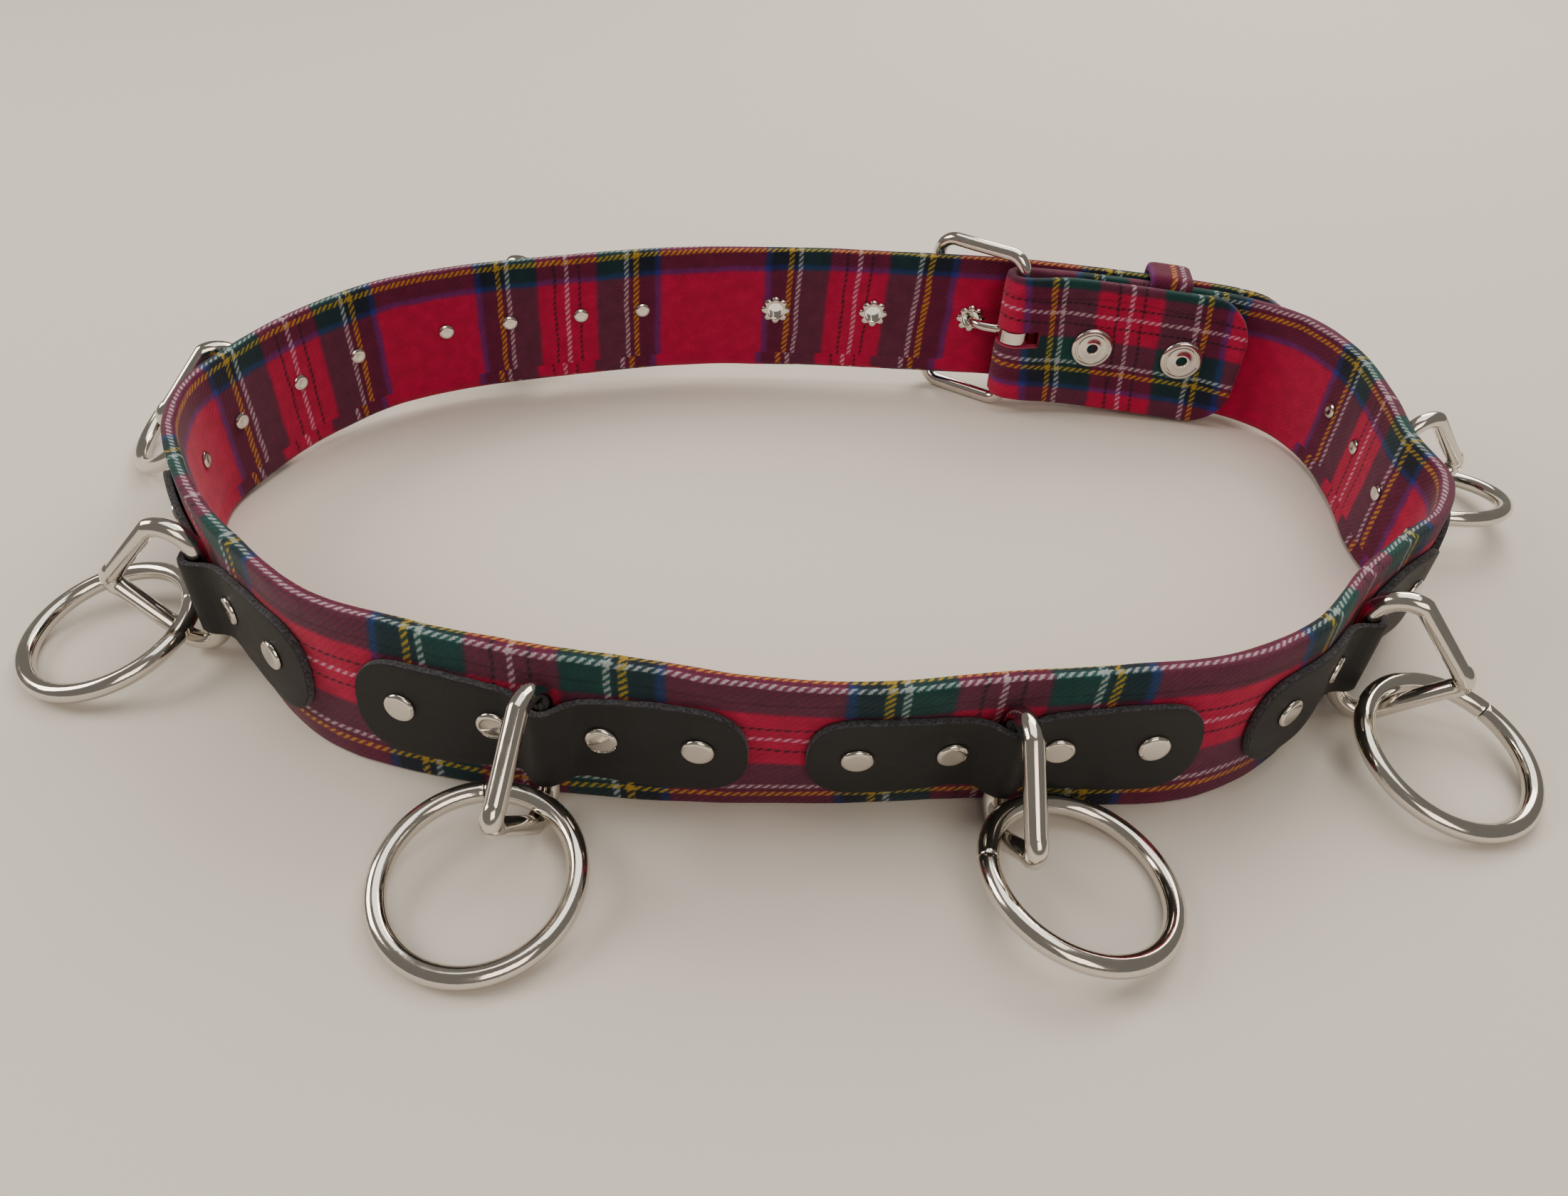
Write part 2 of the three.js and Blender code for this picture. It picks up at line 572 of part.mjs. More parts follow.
/** Outline of an oblong with round corners, reaching the same way up and down. */
function oblong(size, radius) {
  const corners = [
    [size.right, size.top], [size.left, size.top],
    [size.left, -size.top], [size.right, -size.top],
  ];
  return corners.flatMap(([x, y], i) => {
    const centre = { x: x - Math.sign(x) * radius, y: y - Math.sign(y) * radius };
    const start = (i * Math.PI) / 2;
    const round = arcPoints(centre.x, centre.y, radius, start, start + Math.PI / 2, BEND_CELLS.oblong);
    return round.map((point) => new THREE.Vector2(point.across, point.up));
  });
}

/** Keeper: an oblong loop whose inner run lies between the flap and the main strap. */
function keeper() {
  const inside = {
    left: -(FREE_END_OFFSET + STRAP_THICKNESS / 2 + KEEPER_ROOM),
    right: STRAP_THICKNESS / 2 + KEEPER_GAP,
    top: STRAP_HEIGHT / 2 + KEEPER_GAP,
  };
  const outside = {
    left: inside.left - KEEPER.outerRun,
    right: inside.right + KEEPER.innerRun,
    top: inside.top + KEEPER.edgeRun,
  };
  const shape = new THREE.Shape(oblong(outside, KEEPER.corner));
  shape.holes.push(new THREE.Path(oblong(inside, KEEPER.innerCorner)));
  const loop = new THREE.ExtrudeGeometry(shape, { depth: KEEPER.width, bevelEnabled: false });
  loop.translate(0, 0, -KEEPER.width / 2);
  const { out } = run.frame(KEEPER.station);
  const [start, middle, end] = [-1, 0, 1].map((side) => (
    run.point(KEEPER.station + (side * KEEPER.width) / 2, 0, STRAP_HEIGHT / 2)
  ));
  const slope = end.sub(start);
  const travel = slope.addScaledVector(out, -slope.dot(out)).normalize();
  const matrix = new THREE.Matrix4().makeBasis(out.clone().negate(), travel.clone().cross(out), travel);
  return named('keeper', closed(loop), tartan, matrix.setPosition(middle));
}

/** Hollow rivet through the flap and the main strap, with its wide flange inside. */
function flapRivetGeometry() {
  const outer = STRAP_THICKNESS / 2 + FLAP_RIVET_GAP.cap;
  const inner = -FLAP_OFFSET.atEnd - FLAP_THICKNESS / 2 - FLAP_RIVET_GAP.flange;
  return turned([
    [FLAP_RIVET.hollow, inner - FLAP_RIVET_HEIGHT.flange],
    [FLAP_RIVET.flange, inner - FLAP_RIVET_HEIGHT.flange],
    [FLAP_RIVET.flange, inner],
    [FLAP_RIVET.shank, inner],
    [FLAP_RIVET.shank, outer],
    [FLAP_RIVET.cap, outer],
    [FLAP_RIVET.cap, outer + FLAP_RIVET_HEIGHT.cap],
    [FLAP_RIVET.hollow, outer + FLAP_RIVET_HEIGHT.cap],
    [FLAP_RIVET.hollow, inner - FLAP_RIVET_HEIGHT.flange],
  ], FLAP_RIVET.sides);
}

function eyeletGeometry() {
  const face = STRAP_THICKNESS / 2 + GAP;
  return turned([
    [EYELET.hole, -face - EYELET.inner],
    [EYELET.flange, -face - EYELET.inner],
    [EYELET.flange, -face],
    [EYELET.spool, -face],
    [EYELET.spool, face],
    [EYELET.flange, face],
    [EYELET.flange, face + EYELET.outer],
    [EYELET.hole, face + EYELET.outer],
    [EYELET.hole, -face - EYELET.inner],
  ], EYELET.sides);
}

function tabAssembly(tab, number) {
  const group = new THREE.Group();
  const rivet = rivetGeometry();
  group.add(named(`leather_tab_${number}`, tabGeometry(tab), leather));
  RIVET_ALONG.forEach((along, i) => {
    const place = throughStrap(tab.station + along, RIVET_RISE);
    group.add(named(`rivet_${number}_${i + 1}`, rivet, nickel, place));
  });
  group.add(named(`d_ring_${number}`, closedWire(dRingOutline(), WIRE_RADIUS), nickel, dRingMatrix(tab)));
  const ring = closed(new THREE.TorusGeometry(O_RING_RADIUS, WIRE_RADIUS, WIRE_SIDES, O_RING_CELLS));
  group.add(named(`o_ring_${number}`, ring, nickel, oRingMatrix(tab)));
  return group;
}

function belt() {
  const group = new THREE.Group();
  group.add(named('strap', strapGeometry(), tartan));
  TABS.forEach((tab, i) => group.add(tabAssembly(tab, i + 1)));
  group.add(buckleFrame(), buckleProng(), keeper());
  FLAP_RIVETS.forEach((distance, i) => {
    const place = throughStrap(distance, FLAP_RIVET.rise);
    group.add(named(`flap_rivet_${i + 1}`, flapRivetGeometry(), nickel, place));
  });
  EYELETS.forEach((distance, i) => {
    group.add(named(`eyelet_${i + 1}`, eyeletGeometry(), nickel, throughStrap(distance)));
  });
  return group;
}

export default belt();
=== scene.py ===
"""Tartan belt with leather tabs, D-rings and O-rings, fastened and lying on its edge.

The run of the strap, the places of the tabs and the poses of the rings are the rows of the
part's own tables, in millimetres. Every mesh is made in millimetres and turned to metres last.
"""

import logging
import math
from bisect import bisect_right
from dataclasses import dataclass
from enum import Enum
from functools import lru_cache
from typing import Callable, NamedTuple, Sequence

import bmesh
import bpy
from mathutils import Matrix, Vector, noise


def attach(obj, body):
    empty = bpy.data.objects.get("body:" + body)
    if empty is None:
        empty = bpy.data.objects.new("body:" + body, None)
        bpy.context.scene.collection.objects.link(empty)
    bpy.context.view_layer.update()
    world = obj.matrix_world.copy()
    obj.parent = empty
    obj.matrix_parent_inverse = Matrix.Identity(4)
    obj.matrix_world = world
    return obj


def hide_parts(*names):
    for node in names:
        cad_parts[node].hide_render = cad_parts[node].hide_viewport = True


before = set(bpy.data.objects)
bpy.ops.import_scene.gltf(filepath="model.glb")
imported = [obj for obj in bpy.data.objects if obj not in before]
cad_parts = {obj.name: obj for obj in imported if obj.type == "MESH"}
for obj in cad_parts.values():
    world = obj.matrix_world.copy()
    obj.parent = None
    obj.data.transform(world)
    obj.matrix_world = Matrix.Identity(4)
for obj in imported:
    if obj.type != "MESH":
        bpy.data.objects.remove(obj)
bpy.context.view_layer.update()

log = logging.getLogger("belt")

MM = 0.001
JOIN_WITHIN = 1e-3
JOIN_ON_AXIS = 1e-4
CLOTH_MAP = "cloth"
SURFACE_MAP = "surface"


class Body(Enum):
    """What a piece rides on: the belt itself, or the pair of rings of one tab."""

    BELT = "belt"
    RINGS = "ring_{}"

    def of(self, number: int = 0) -> str:
        """Name of the body, numbered where there is one for each tab."""
        return self.value.format(number)


class Slot(Enum):
    """Material slots of the record."""

    TARTAN = "tartan"
    LEATHER = "leather"
    NICKEL = "nickel"


class RunRow(NamedTuple):
    """Middle of the strap's top edge, its lift off the floor, and its lean outward at the foot."""

    x: float
    y: float
    lift: float
    lean: float


class TabRow(NamedTuple):
    """A tab's middle along the strap, its D-ring's swing and drop, and its O-ring's pose."""

    station: float
    swing: float
    drop: float
    ring_x: float
    ring_y: float
    tilt: float
    uphill: float
    seam: float


class TabShape(NamedTuple):
    """Half height of a tab, and its inner face above the strap, at a distance from its middle."""

    along: float
    half_height: float
    bulge: float


class ClothRow(NamedTuple):
    """How the cloth lies at a distance along the strap.

    shift: its middle line above the strap's, in mm. slip: how far the tartan runs ahead, in mm.
    skew: how far its upright stripes lean, in mm along for each mm: down the inner face of the
    strap, up the outer face of the flap.
    """

    along: float
    shift: float
    slip: float
    skew: float


PLAN_CENTRE = Vector((9.5, 257.0))
STRAP_HEIGHT = 44.5
STRAP_THICKNESS = 4.2
TAB_THICKNESS = 2.0
HINGE = Vector((76, 357.85)) - PLAN_CENTRE
END_BAR = Vector((48.5, 374.05)) - PLAN_CENTRE
BUCKLE_LIFT = 7.5
FREE_END_OFFSET = 6.0
FLAP_END_OFFSET = 5.9
FLAP_THICKNESS = 3.4
EYELET_STATIONS = (837, 872.2, 907.4, 942.5, 977.7)

RUN_ROWS = tuple(RunRow(*row) for row in (
    (76, 362.3, 7.5, 0), (101, 362.3, 6.3, 0), (126, 360.8, 4.8, 0), (151, 357.2, 3.4, 0),
    (171, 347, 2, 0), (180.3, 326, 1.3, 0), (181.2, 302, 0.7, 0), (179.4, 278, 0, 0),
    (180.6, 257.5, 0, 0), (172.2, 240.7, 0, 0), (157, 226.8, 0, 0), (141.9, 212, 0, 0),
    (124.9, 192.6, 0, 1), (101.3, 178.8, 0, 2), (75.1, 173.1, 0, 0.5), (49, 169.1, 0, -4),
    (22.9, 163.9, 0, -6), (-3.8, 163.5, 0, -4.5), (-30.2, 167.1, 0, 0), (-56.4, 170.3, 0, 2),
    (-82.5, 175.4, 0, 4), (-108.2, 183.5, 0, 4), (-129.3, 199.5, 0, 2), (-148.3, 218, 0, 0),
    (-161, 235.5, 0, 0), (-170.3, 253.5, 0, 0), (-173.2, 272, 0.5, 0), (-167.6, 290, 1.5, 0),
    (-160, 305.5, 2.5, 0), (-149.5, 319.5, 3.5, 0), (-137.3, 331.2, 4.5, 0), (-121.4, 340.2, 5.2, 0),
    (-104, 347.1, 5.8, 0), (-86.2, 352.8, 6.2, 0), (-68.2, 358.1, 6.6, 0), (-50.1, 363.1, 6.8, 0),
    (-31.9, 366.4, 7, 0), (-13.2, 368, 7.2, 0), (5.6, 368.7, 7.5, 0), (24.4, 369.1, 7.5, 0),
    (48, 369.3, 7.5, 0), (76, 369.3, 7.3, 0), (101, 368.3, 6.3, 0), (126.6, 366.8, 4.8, 0),
    (152.6, 363.1, 3.4, 0), (174.6, 352, 2, 0),
))

TAB_ROWS = tuple(TabRow(*row) for row in (
    (156.5, 25.2, 0, 210.1, 303.2, 13.6, 276.2, 200),
    (251.2, 19.3, 0, 167.1, 187.4, 13.6, 126.9, 45),
    (354.8, 3.8, 0, 68.5, 144.7, 11.8, 193.7, 178),
    (458.2, -7.8, 0, -62.6, 137.1, 9.6, 78.6, 97),
    (561.5, -46.6, 0, -176.7, 207.2, 11.9, 31.6, 20),
    (656, 57, 0, -195.1, 300.4, 37.3, 19.8, 120),
    (755, 53.8, 1.5, -108.1, 377.6, 24.5, -45.6, 150),
))

TAB_SHAPE = tuple(TabShape(*row) for row in (
    (0, 11.3, 5.6), (1.5, 11.3, 5.2), (2.7, 11.3, 4.1), (4, 11.3, 2.6), (6, 11.35, 1.1),
    (8.5, 11.6, 0.45), (11, 12, 0.3), (18, 12.75, 0.3), (25, 13.3, 0.3), (33.5, 13.3, 0.3),
    (46, 13.3, 0.3),
))

CLOTH_ROWS = tuple(ClothRow(*row) for row in (
    (-100, 12, 1.5, -0.1), (-81, 12, -0.4, -0.1), (-55, 12, -3, -0.1), (-27, 12, -6.1, -0.1),
    (-14, 12, -8, -0.1), (0, 12, -8, 0), (46, 9, 0.5, 0), (130, 7, 0.1, 0), (200, 6.5, 1.9, 0),
    (250, 6, 3.7, 0), (310, 5.2, 1.1, 0), (358, 4.2, -1, 0), (410, 3.8, -3, 0), (465, 3.6, -5, 0),
    (510, 5, -5.5, 0), (570, 6, -5.9, 0), (668, 6, -1, 0), (764, 5.5, 7.3, 0.04),
    (866, 3.5, 8.5, 0.04), (978, 3.5, 0, 0.04), (1030, 3.5, 0, 0.04),
))


def linear(colour: str, power: float = 1.0) -> tuple[float, float, float, float]:
    """Turns an sRGB hex value to a linear colour.

    Args:
        colour: Six hex digits after a hash sign.
        power: Exponent put on each linear channel, 1 to leave them.

    Returns:
        Red, green, blue and an alpha of 1.
    """
    channels = [int(colour[i:i + 2], 16) / 255 for i in (1, 3, 5)]
    flat = [c / 12.92 if c <= 0.04045 else ((c + 0.055) / 1.055) ** 2.4 for c in channels]
    return (*(c ** power for c in flat), 1.0)


def add_node(tree: bpy.types.NodeTree, kind: str, inputs: dict | None = None, **settings) -> bpy.types.Node:
    """Adds a shader node with its settings and links.

    Args:
        tree: Node tree of the material.
        kind: Node type without its ShaderNode prefix.
        inputs: Value, node or socket for each input, by name or number.
        **settings: Properties of the node; stops fills a colour ramp.

    Returns:
        The new node.
    """
    node = tree.nodes.new("ShaderNode" + kind)
    stops = settings.pop("stops", ())
    for name, value in settings.items():
        setattr(node, name, value)
    for number, (place, colour) in enumerate(stops):
        element = node.color_ramp.elements[0] if number == 0 else node.color_ramp.elements.new(place)
        element.position = place
        element.color = colour
    if stops:
        node.color_ramp.elements.remove(node.color_ramp.elements[-1])
    for key, value in (inputs or {}).items():
        if isinstance(value, bpy.types.Node):
            tree.links.new(value.outputs[0], node.inputs[key])
        elif isinstance(value, bpy.types.NodeSocket):
            tree.links.new(value, node.inputs[key])
        else:
            node.inputs[key].default_value = value
    return node


@dataclass(frozen=True)
class Finish:
    """A surface finish; its name is the material's name."""

    name: str

    def material(self) -> bpy.types.Material:
        """Gives the material, made the first time it is asked for."""
        known = bpy.data.materials.get(self.name)
        if known:
            return known
        made = bpy.data.materials.new(self.name)
        made.use_nodes = True
        made.node_tree.nodes.clear()
        shader = self.shade(made.node_tree)
        add_node(made.node_tree, "OutputMaterial", {"Surface": shader})
        return made

    def shade(self, tree: bpy.types.NodeTree) -> bpy.types.Node:
        """Builds the nodes of the finish and gives its shader."""
        raise NotImplementedError


@dataclass(frozen=True)
class TartanTwill(Finish):
    """Brushed woollen twill: two stripings of one sett cross, so their colours mix where they meet.

    The nap blurs dark fields into one mixed shade, while light lines stay visible as slanting
    floats of the twill. The cloth scatters light softly and has no gloss.
    """

    name: str = "brushed_tartan_twill"
    warp_repeat: float = 103.5
    warp_middle: float = 150.0
    weft_repeat: float = 91.0
    twill_repeat: float = 2.0
    red: str = "#a5123f"
    green: str = "#143c3c"
    navy: str = "#141c2c"
    blue: str = "#222c86"
    white: str = "#cfccd2"
    yellow: str = "#d8ae2c"
    black: str = "#15141a"
    mixing: float = 3.0
    edge: float = 0.004
    blur: float = 0.014
    yarn_sway: tuple[float, float, float] = (1.6, 1.2, 0)
    fibre_sway: tuple[float, float, float] = (0.9, 0.9, 0)
    ground_shares: tuple[float, float] = (0.45, 0.55)
    float_under: float = 0.14
    float_over: float = 0.68
    crease_heights: tuple[float, float] = (17.6, 15.4)

    def bands(self) -> list[tuple[float, tuple]]:
        """Broad bands of half the sett, from its middle line to the middle of the wide red."""
        places = ((0.1, self.red, self.green), (0.213, self.green, self.navy),
                  (0.298, self.navy, self.blue), (0.318, self.blue, self.red))
        stops = [(0.0, linear(self.red, 1 / self.mixing))]
        for place, before, after in places:
            stops.append((2 * place - self.blur, linear(before, 1 / self.mixing)))
            stops.append((2 * place + self.blur, linear(after, 1 / self.mixing)))
        return stops

    def lines(self) -> list[tuple[float, tuple]]:
        """Thin lines of half the sett; clear stops between them leave the bands showing."""
        spans = ((-0.01, 0.0075, self.white), (0.0375, 0.0455, self.black),
                 (0.193, 0.209, self.white), (0.224, 0.243, self.yellow))
        stops = []
        for start, end, colour in spans:
            shade = linear(colour, 1 / self.mixing)
            clear = (*shade[:3], 0.0)
            stops += [(2 * start - self.edge, clear), (2 * start + self.edge, shade),
                      (2 * end - self.edge, shade), (2 * end + self.edge, clear)]
        return [(place, shade) for place, shade in stops if place > 0]

    def striping(self, tree: bpy.types.NodeTree, place: bpy.types.Node, repeat: float,
                 middle: float) -> tuple[bpy.types.Node, bpy.types.Node]:
        """Reads the sett along one direction of the cloth.

        Args:
            tree: Node tree of the material.
            place: Distance across the stripes in mm.
            repeat: Length of the whole sett in mm.
            middle: Where a middle line lies, in mm.

        Returns:
            The colour ramps of the bands and of the lines.
        """
        repeats = add_node(tree, "Math", {0: place, 1: middle}, operation="SUBTRACT")
        share = add_node(tree, "Math", {0: repeats, 1: 2 / repeat}, operation="MULTIPLY")
        folded = add_node(tree, "Math", {0: share, 1: 1.0}, operation="PINGPONG")
        bands = add_node(tree, "ValToRGB", {0: folded}, stops=self.bands())
        lines = add_node(tree, "ValToRGB", {0: folded}, stops=self.lines())
        return bands, lines

    def shade(self, tree: bpy.types.NodeTree) -> bpy.types.Node:
        """Weaves the two stripings together and gives the cloth's shader."""
        cloth = add_node(tree, "UVMap", uv_map=CLOTH_MAP)
        slub = add_node(tree, "TexNoise", {"Vector": cloth, "Scale": 0.09, "Detail": 2.0})
        fibre = add_node(tree, "TexNoise", {"Vector": cloth, "Scale": 2.2, "Detail": 3.0})
        grey = (0.5, 0.5, 0.5)
        sway = add_node(tree, "VectorMath", {0: slub.outputs["Color"], 1: grey}, operation="SUBTRACT")
        stray = add_node(tree, "VectorMath", {0: fibre.outputs["Color"], 1: grey}, operation="SUBTRACT")
        eased = add_node(tree, "VectorMath", {0: sway, 1: self.yarn_sway, 2: cloth}, operation="MULTIPLY_ADD")
        yarn = add_node(tree, "VectorMath", {0: stray, 1: self.fibre_sway, 2: eased},
                        operation="MULTIPLY_ADD")
        spot = add_node(tree, "SeparateXYZ", {0: yarn})
        warp, warp_lines = self.striping(tree, spot.outputs[0], self.warp_repeat, self.warp_middle)
        weft, weft_lines = self.striping(tree, spot.outputs[1], self.weft_repeat, 0.0)

        # Floats of the twill lie along lines where distance along and up add to a constant
        diagonal = add_node(tree, "Math", {0: spot.outputs[0], 1: spot.outputs[1]}, operation="ADD")
        turn = add_node(tree, "Math", {0: diagonal, 1: math.tau / self.twill_repeat}, operation="MULTIPLY")
        wave = add_node(tree, "Math", {0: turn}, operation="SINE")
        low, high = self.ground_shares
        under, over = self.float_under, self.float_over
        mixed = add_node(tree, "MapRange", {0: wave, 1: -1.0, 2: 1.0, 3: low, 4: high})
        warp_up = add_node(tree, "MapRange", {0: wave, 1: -0.5, 2: 0.5, 3: under, 4: over})
        weft_up = add_node(tree, "MapRange", {0: wave, 1: -0.5, 2: 0.5, 3: over, 4: under})
        ground = add_node(tree, "MixRGB", {0: mixed, 1: weft, 2: warp})
        warp_share = add_node(tree, "Math", {0: warp_up, 1: warp_lines.outputs[1]}, operation="MULTIPLY")
        weft_share = add_node(tree, "Math", {0: weft_up, 1: weft_lines.outputs[1]}, operation="MULTIPLY")
        upright = add_node(tree, "MixRGB", {0: warp_share, 1: ground, 2: warp_lines})
        crossed = add_node(tree, "MixRGB", {0: weft_share, 1: upright, 2: weft_lines})

        nap = add_node(tree, "MapRange", {0: fibre, 1: 0.3, 2: 0.7, 3: 0.93, 4: 1.05})
        rubbed = add_node(tree, "TexNoise", {"Vector": cloth, "Scale": 0.22, "Detail": 4.0})
        worn = add_node(tree, "MapRange", {0: rubbed, 1: 0.3, 2: 0.7, 3: 0.95, 4: 1.04})
        # Painted shade: the crease factor darkens the colour along the long crease, and it also shapes the
        # fold's bump
        crease_shade_and_fold = self.crease(tree)
        shading = add_node(tree, "Math", {0: nap, 1: worn}, operation="MULTIPLY")
        tone_and_crease_shade = add_node(tree, "Math", {0: shading, 1: crease_shade_and_fold}, operation="MULTIPLY")
        toned = add_node(tree, "VectorMath", {0: crossed, 3: tone_and_crease_shade}, operation="SCALE")
        colour = add_node(tree, "Gamma", {0: toned, 1: self.mixing})

        relief = add_node(tree, "Math", {0: wave, 1: 0.25, 2: fibre}, operation="MULTIPLY_ADD")
        folds = add_node(tree, "Math", {0: crease_shade_and_fold, 1: 4.0, 2: relief}, operation="MULTIPLY_ADD")
        bump = add_node(tree, "Bump", {"Height": folds, "Distance": 0.0002, "Strength": 0.5})
        return add_node(tree, "BsdfPrincipled", {
            "Base Color": colour, "Roughness": 0.95, "Specular IOR Level": 0.2, "Normal": bump,
            "Sheen Weight": 0.12, "Sheen Roughness": 0.5,
        })

    def crease(self, tree: bpy.types.NodeTree) -> bpy.types.Node:
        """Gives 1 on open cloth and less in the long crease below the top of the outer face: painted shade
        that darkens the cloth's colour there, and the height of the fold's bump.
        """
        surface = add_node(tree, "UVMap", uv_map=SURFACE_MAP)
        sway = add_node(tree, "TexNoise", {"Vector": surface, "Scale": 0.05, "Detail": 3.0})
        spot = add_node(tree, "SeparateXYZ", {0: surface})
        start, end = self.crease_heights
        line = add_node(tree, "MapRange", {0: sway, 1: 0.3, 2: 0.7, 3: start, 4: end})
        away = add_node(tree, "Math", {0: spot.outputs[1], 1: line}, operation="SUBTRACT")
        reach = add_node(tree, "Math", {0: away}, operation="ABSOLUTE")
        return add_node(tree, "MapRange", {0: reach, 1: 0.1, 2: 0.55, 3: 0.9, 4: 1.0})


@dataclass(frozen=True)
class SmoothLeather(Finish):
    """Full-grain vegetable-tanned leather, dyed black and waxed: a fine grain under a low satin."""

    name: str = "black_waxed_leather"
    colour: str = "#151517"
    rubbed: str = "#282729"
    grain: float = 0.9

    def shade(self, tree: bpy.types.NodeTree) -> bpy.types.Node:
        """Builds the grain, the rubbed patches and the shader."""
        place = add_node(tree, "TexCoord").outputs["Object"]
        cells = add_node(tree, "TexVoronoi", {"Vector": place, "Scale": 1 / (self.grain * MM)})
        pores = add_node(tree, "TexNoise", {"Vector": place, "Scale": 2600.0, "Detail": 4.0})
        cloudy = add_node(tree, "TexNoise", {"Vector": place, "Scale": 95.0, "Detail": 5.0})
        wear = add_node(tree, "MapRange", {0: cloudy, 1: 0.42, 2: 0.8, 3: 0.0, 4: 0.8})
        colour = add_node(tree, "MixRGB", {0: wear, 1: linear(self.colour), 2: linear(self.rubbed)})
        rough = add_node(tree, "MapRange", {0: cloudy, 1: 0.3, 2: 0.7, 3: 0.52, 4: 0.66})
        height = add_node(tree, "Math", {0: cells, 1: 0.6, 2: pores}, operation="MULTIPLY_ADD")
        bump = add_node(tree, "Bump", {"Height": height, "Distance": 0.00012, "Strength": 0.35})
        return add_node(tree, "BsdfPrincipled", {
            "Base Color": colour, "Roughness": rough, "Specular IOR Level": 0.35, "Normal": bump,
        })


@dataclass(frozen=True)
class CutLeather(Finish):
    """Raw cut side of the same leather, dull: loose fibre ends, with a painted grey-blue highlight on them in
    place of the light they catch.
    """

    name: str = "raw_cut_leather"
    core: str = "#242427"
    fibre_highlight: str = "#4a4d57"

    def shade(self, tree: bpy.types.NodeTree) -> bpy.types.Node:
        """Builds the fuzz of fibre ends, their painted highlight and the shader."""
        place = add_node(tree, "TexCoord").outputs["Object"]
        fuzz = add_node(tree, "TexNoise", {"Vector": place, "Scale": 1400.0, "Detail": 6.0})
        share = add_node(tree, "MapRange", {0: fuzz, 1: 0.38, 2: 0.68})
        # Painted highlight: the fuzz mixes a lighter grey-blue into the dark core colour of the cut side
        colour = add_node(tree, "MixRGB", {0: share, 1: linear(self.core), 2: linear(self.fibre_highlight)})
        bump = add_node(tree, "Bump", {"Height": fuzz, "Distance": 0.0004, "Strength": 0.8})
        return add_node(tree, "BsdfPrincipled", {
            "Base Color": colour, "Roughness": 0.92, "Normal": bump, "Sheen Weight": 0.1,
        })


@dataclass(frozen=True)
class NickelPlate(Finish):
    """Bright nickel plated on polished steel: sharp, slightly warm reflections and faint rubbing."""

    name: str = "bright_nickel_plate"
    colour: str = "#d4cfc7"
    smooth: float = 0.07
    rubbed: float = 0.17

    def shade(self, tree: bpy.types.NodeTree) -> bpy.types.Node:
        """Builds the rubbed patches, the fine scratches and the shader."""
        place = add_node(tree, "TexCoord").outputs["Object"]
        cloudy = add_node(tree, "TexNoise", {"Vector": place, "Scale": 240.0, "Detail": 5.0})
        stretched = add_node(tree, "Mapping", {"Vector": place, "Scale": (1.0, 1.0, 7.0)})
        marks = add_node(tree, "TexNoise", {"Vector": stretched, "Scale": 900.0, "Detail": 3.0})
        rough = add_node(tree, "MapRange", {0: cloudy, 1: 0.35, 2: 0.75, 3: self.smooth, 4: self.rubbed})
        bump = add_node(tree, "Bump", {"Height": marks, "Distance": 0.00003, "Strength": 0.25})
        return add_node(tree, "BsdfPrincipled", {
            "Base Color": linear(self.colour), "Metallic": 1.0, "Roughness": rough, "Normal": bump,
        })


@dataclass(frozen=True)
class StudioFloor(Finish):
    """Matt painted board, pale and plain."""

    name: str = "matt_pale_board"
    colour: str = "#d9d5cf"

    def shade(self, tree: bpy.types.NodeTree) -> bpy.types.Node:
        """Gives a plain matt shader with a trace of unevenness."""
        place = add_node(tree, "TexCoord").outputs["Object"]
        uneven = add_node(tree, "TexNoise", {"Vector": place, "Scale": 60.0, "Detail": 3.0})
        bump = add_node(tree, "Bump", {"Height": uneven, "Distance": 0.0002, "Strength": 0.1})
        return add_node(tree, "BsdfPrincipled", {
            "Base Color": linear(self.colour), "Roughness": 0.85, "Normal": bump,
        })


FINISHES = {
    Slot.TARTAN: (TartanTwill(),),
    Slot.LEATHER: (SmoothLeather(), CutLeather()),
    Slot.NICKEL: (NickelPlate(),),
}


def smooth(share: float) -> float:
    """Share from 0 to 1, held at its ends and eased near them."""
    held = min(max(share, 0.0), 1.0)
    return held * held * (3 - 2 * held)


def eased(rows: Sequence[NamedTuple], place: float, column: str) -> float:
    """Value of a table's column at a place in its first column, eased between the rows."""
    keys = [row[0] for row in rows]
    after = min(max(bisect_right(keys, place), 1), len(rows) - 1)
    low, high = rows[after - 1], rows[after]
    start, end = getattr(low, column), getattr(high, column)
    return start + (end - start) * smooth((place - low[0]) / (high[0] - low[0]))


def added(name: str, data: bpy.types.ID) -> bpy.types.Object:
    """Puts a new object of the data in the scene."""
    made = bpy.data.objects.new(name, data)
    bpy.context.scene.collection.objects.link(made)
    return made


def to_data(name: str, mesh: bmesh.types.BMesh, change: Matrix | None = None) -> bpy.types.Mesh:
    """Moves a mesh by a change, hands it over as mesh data and frees it."""
    bmesh.ops.transform(mesh, matrix=change or Matrix(), verts=mesh.verts)
    data = bpy.data.meshes.new(name)
    mesh.to_mesh(data)
    mesh.free()
    return data


def closed(mesh: bmesh.types.BMesh) -> bmesh.types.BMesh:
    """Fills the open ends of a mesh and points its faces outward."""
    ends = [edge for edge in mesh.edges if edge.is_boundary]
    if ends:
        bmesh.ops.holes_fill(mesh, edges=ends, sides=0)
    bmesh.ops.recalc_face_normals(mesh, faces=mesh.faces)
    return mesh


@dataclass(frozen=True)
class Station:
    """A place on the strap's run: its middle, lift and lean, and the ways on and outward."""

    x: float
    y: float
    lift: float
    lean: float
    travel: Vector
    out: Vector

    def point(self, offset: float, height: float) -> Vector:
        """Point at an offset outward and a height above the strap's bottom edge."""
        across = offset + self.lean * (1 - height / STRAP_HEIGHT)
        return Vector((self.x, self.y, self.lift + height)) + self.out * across


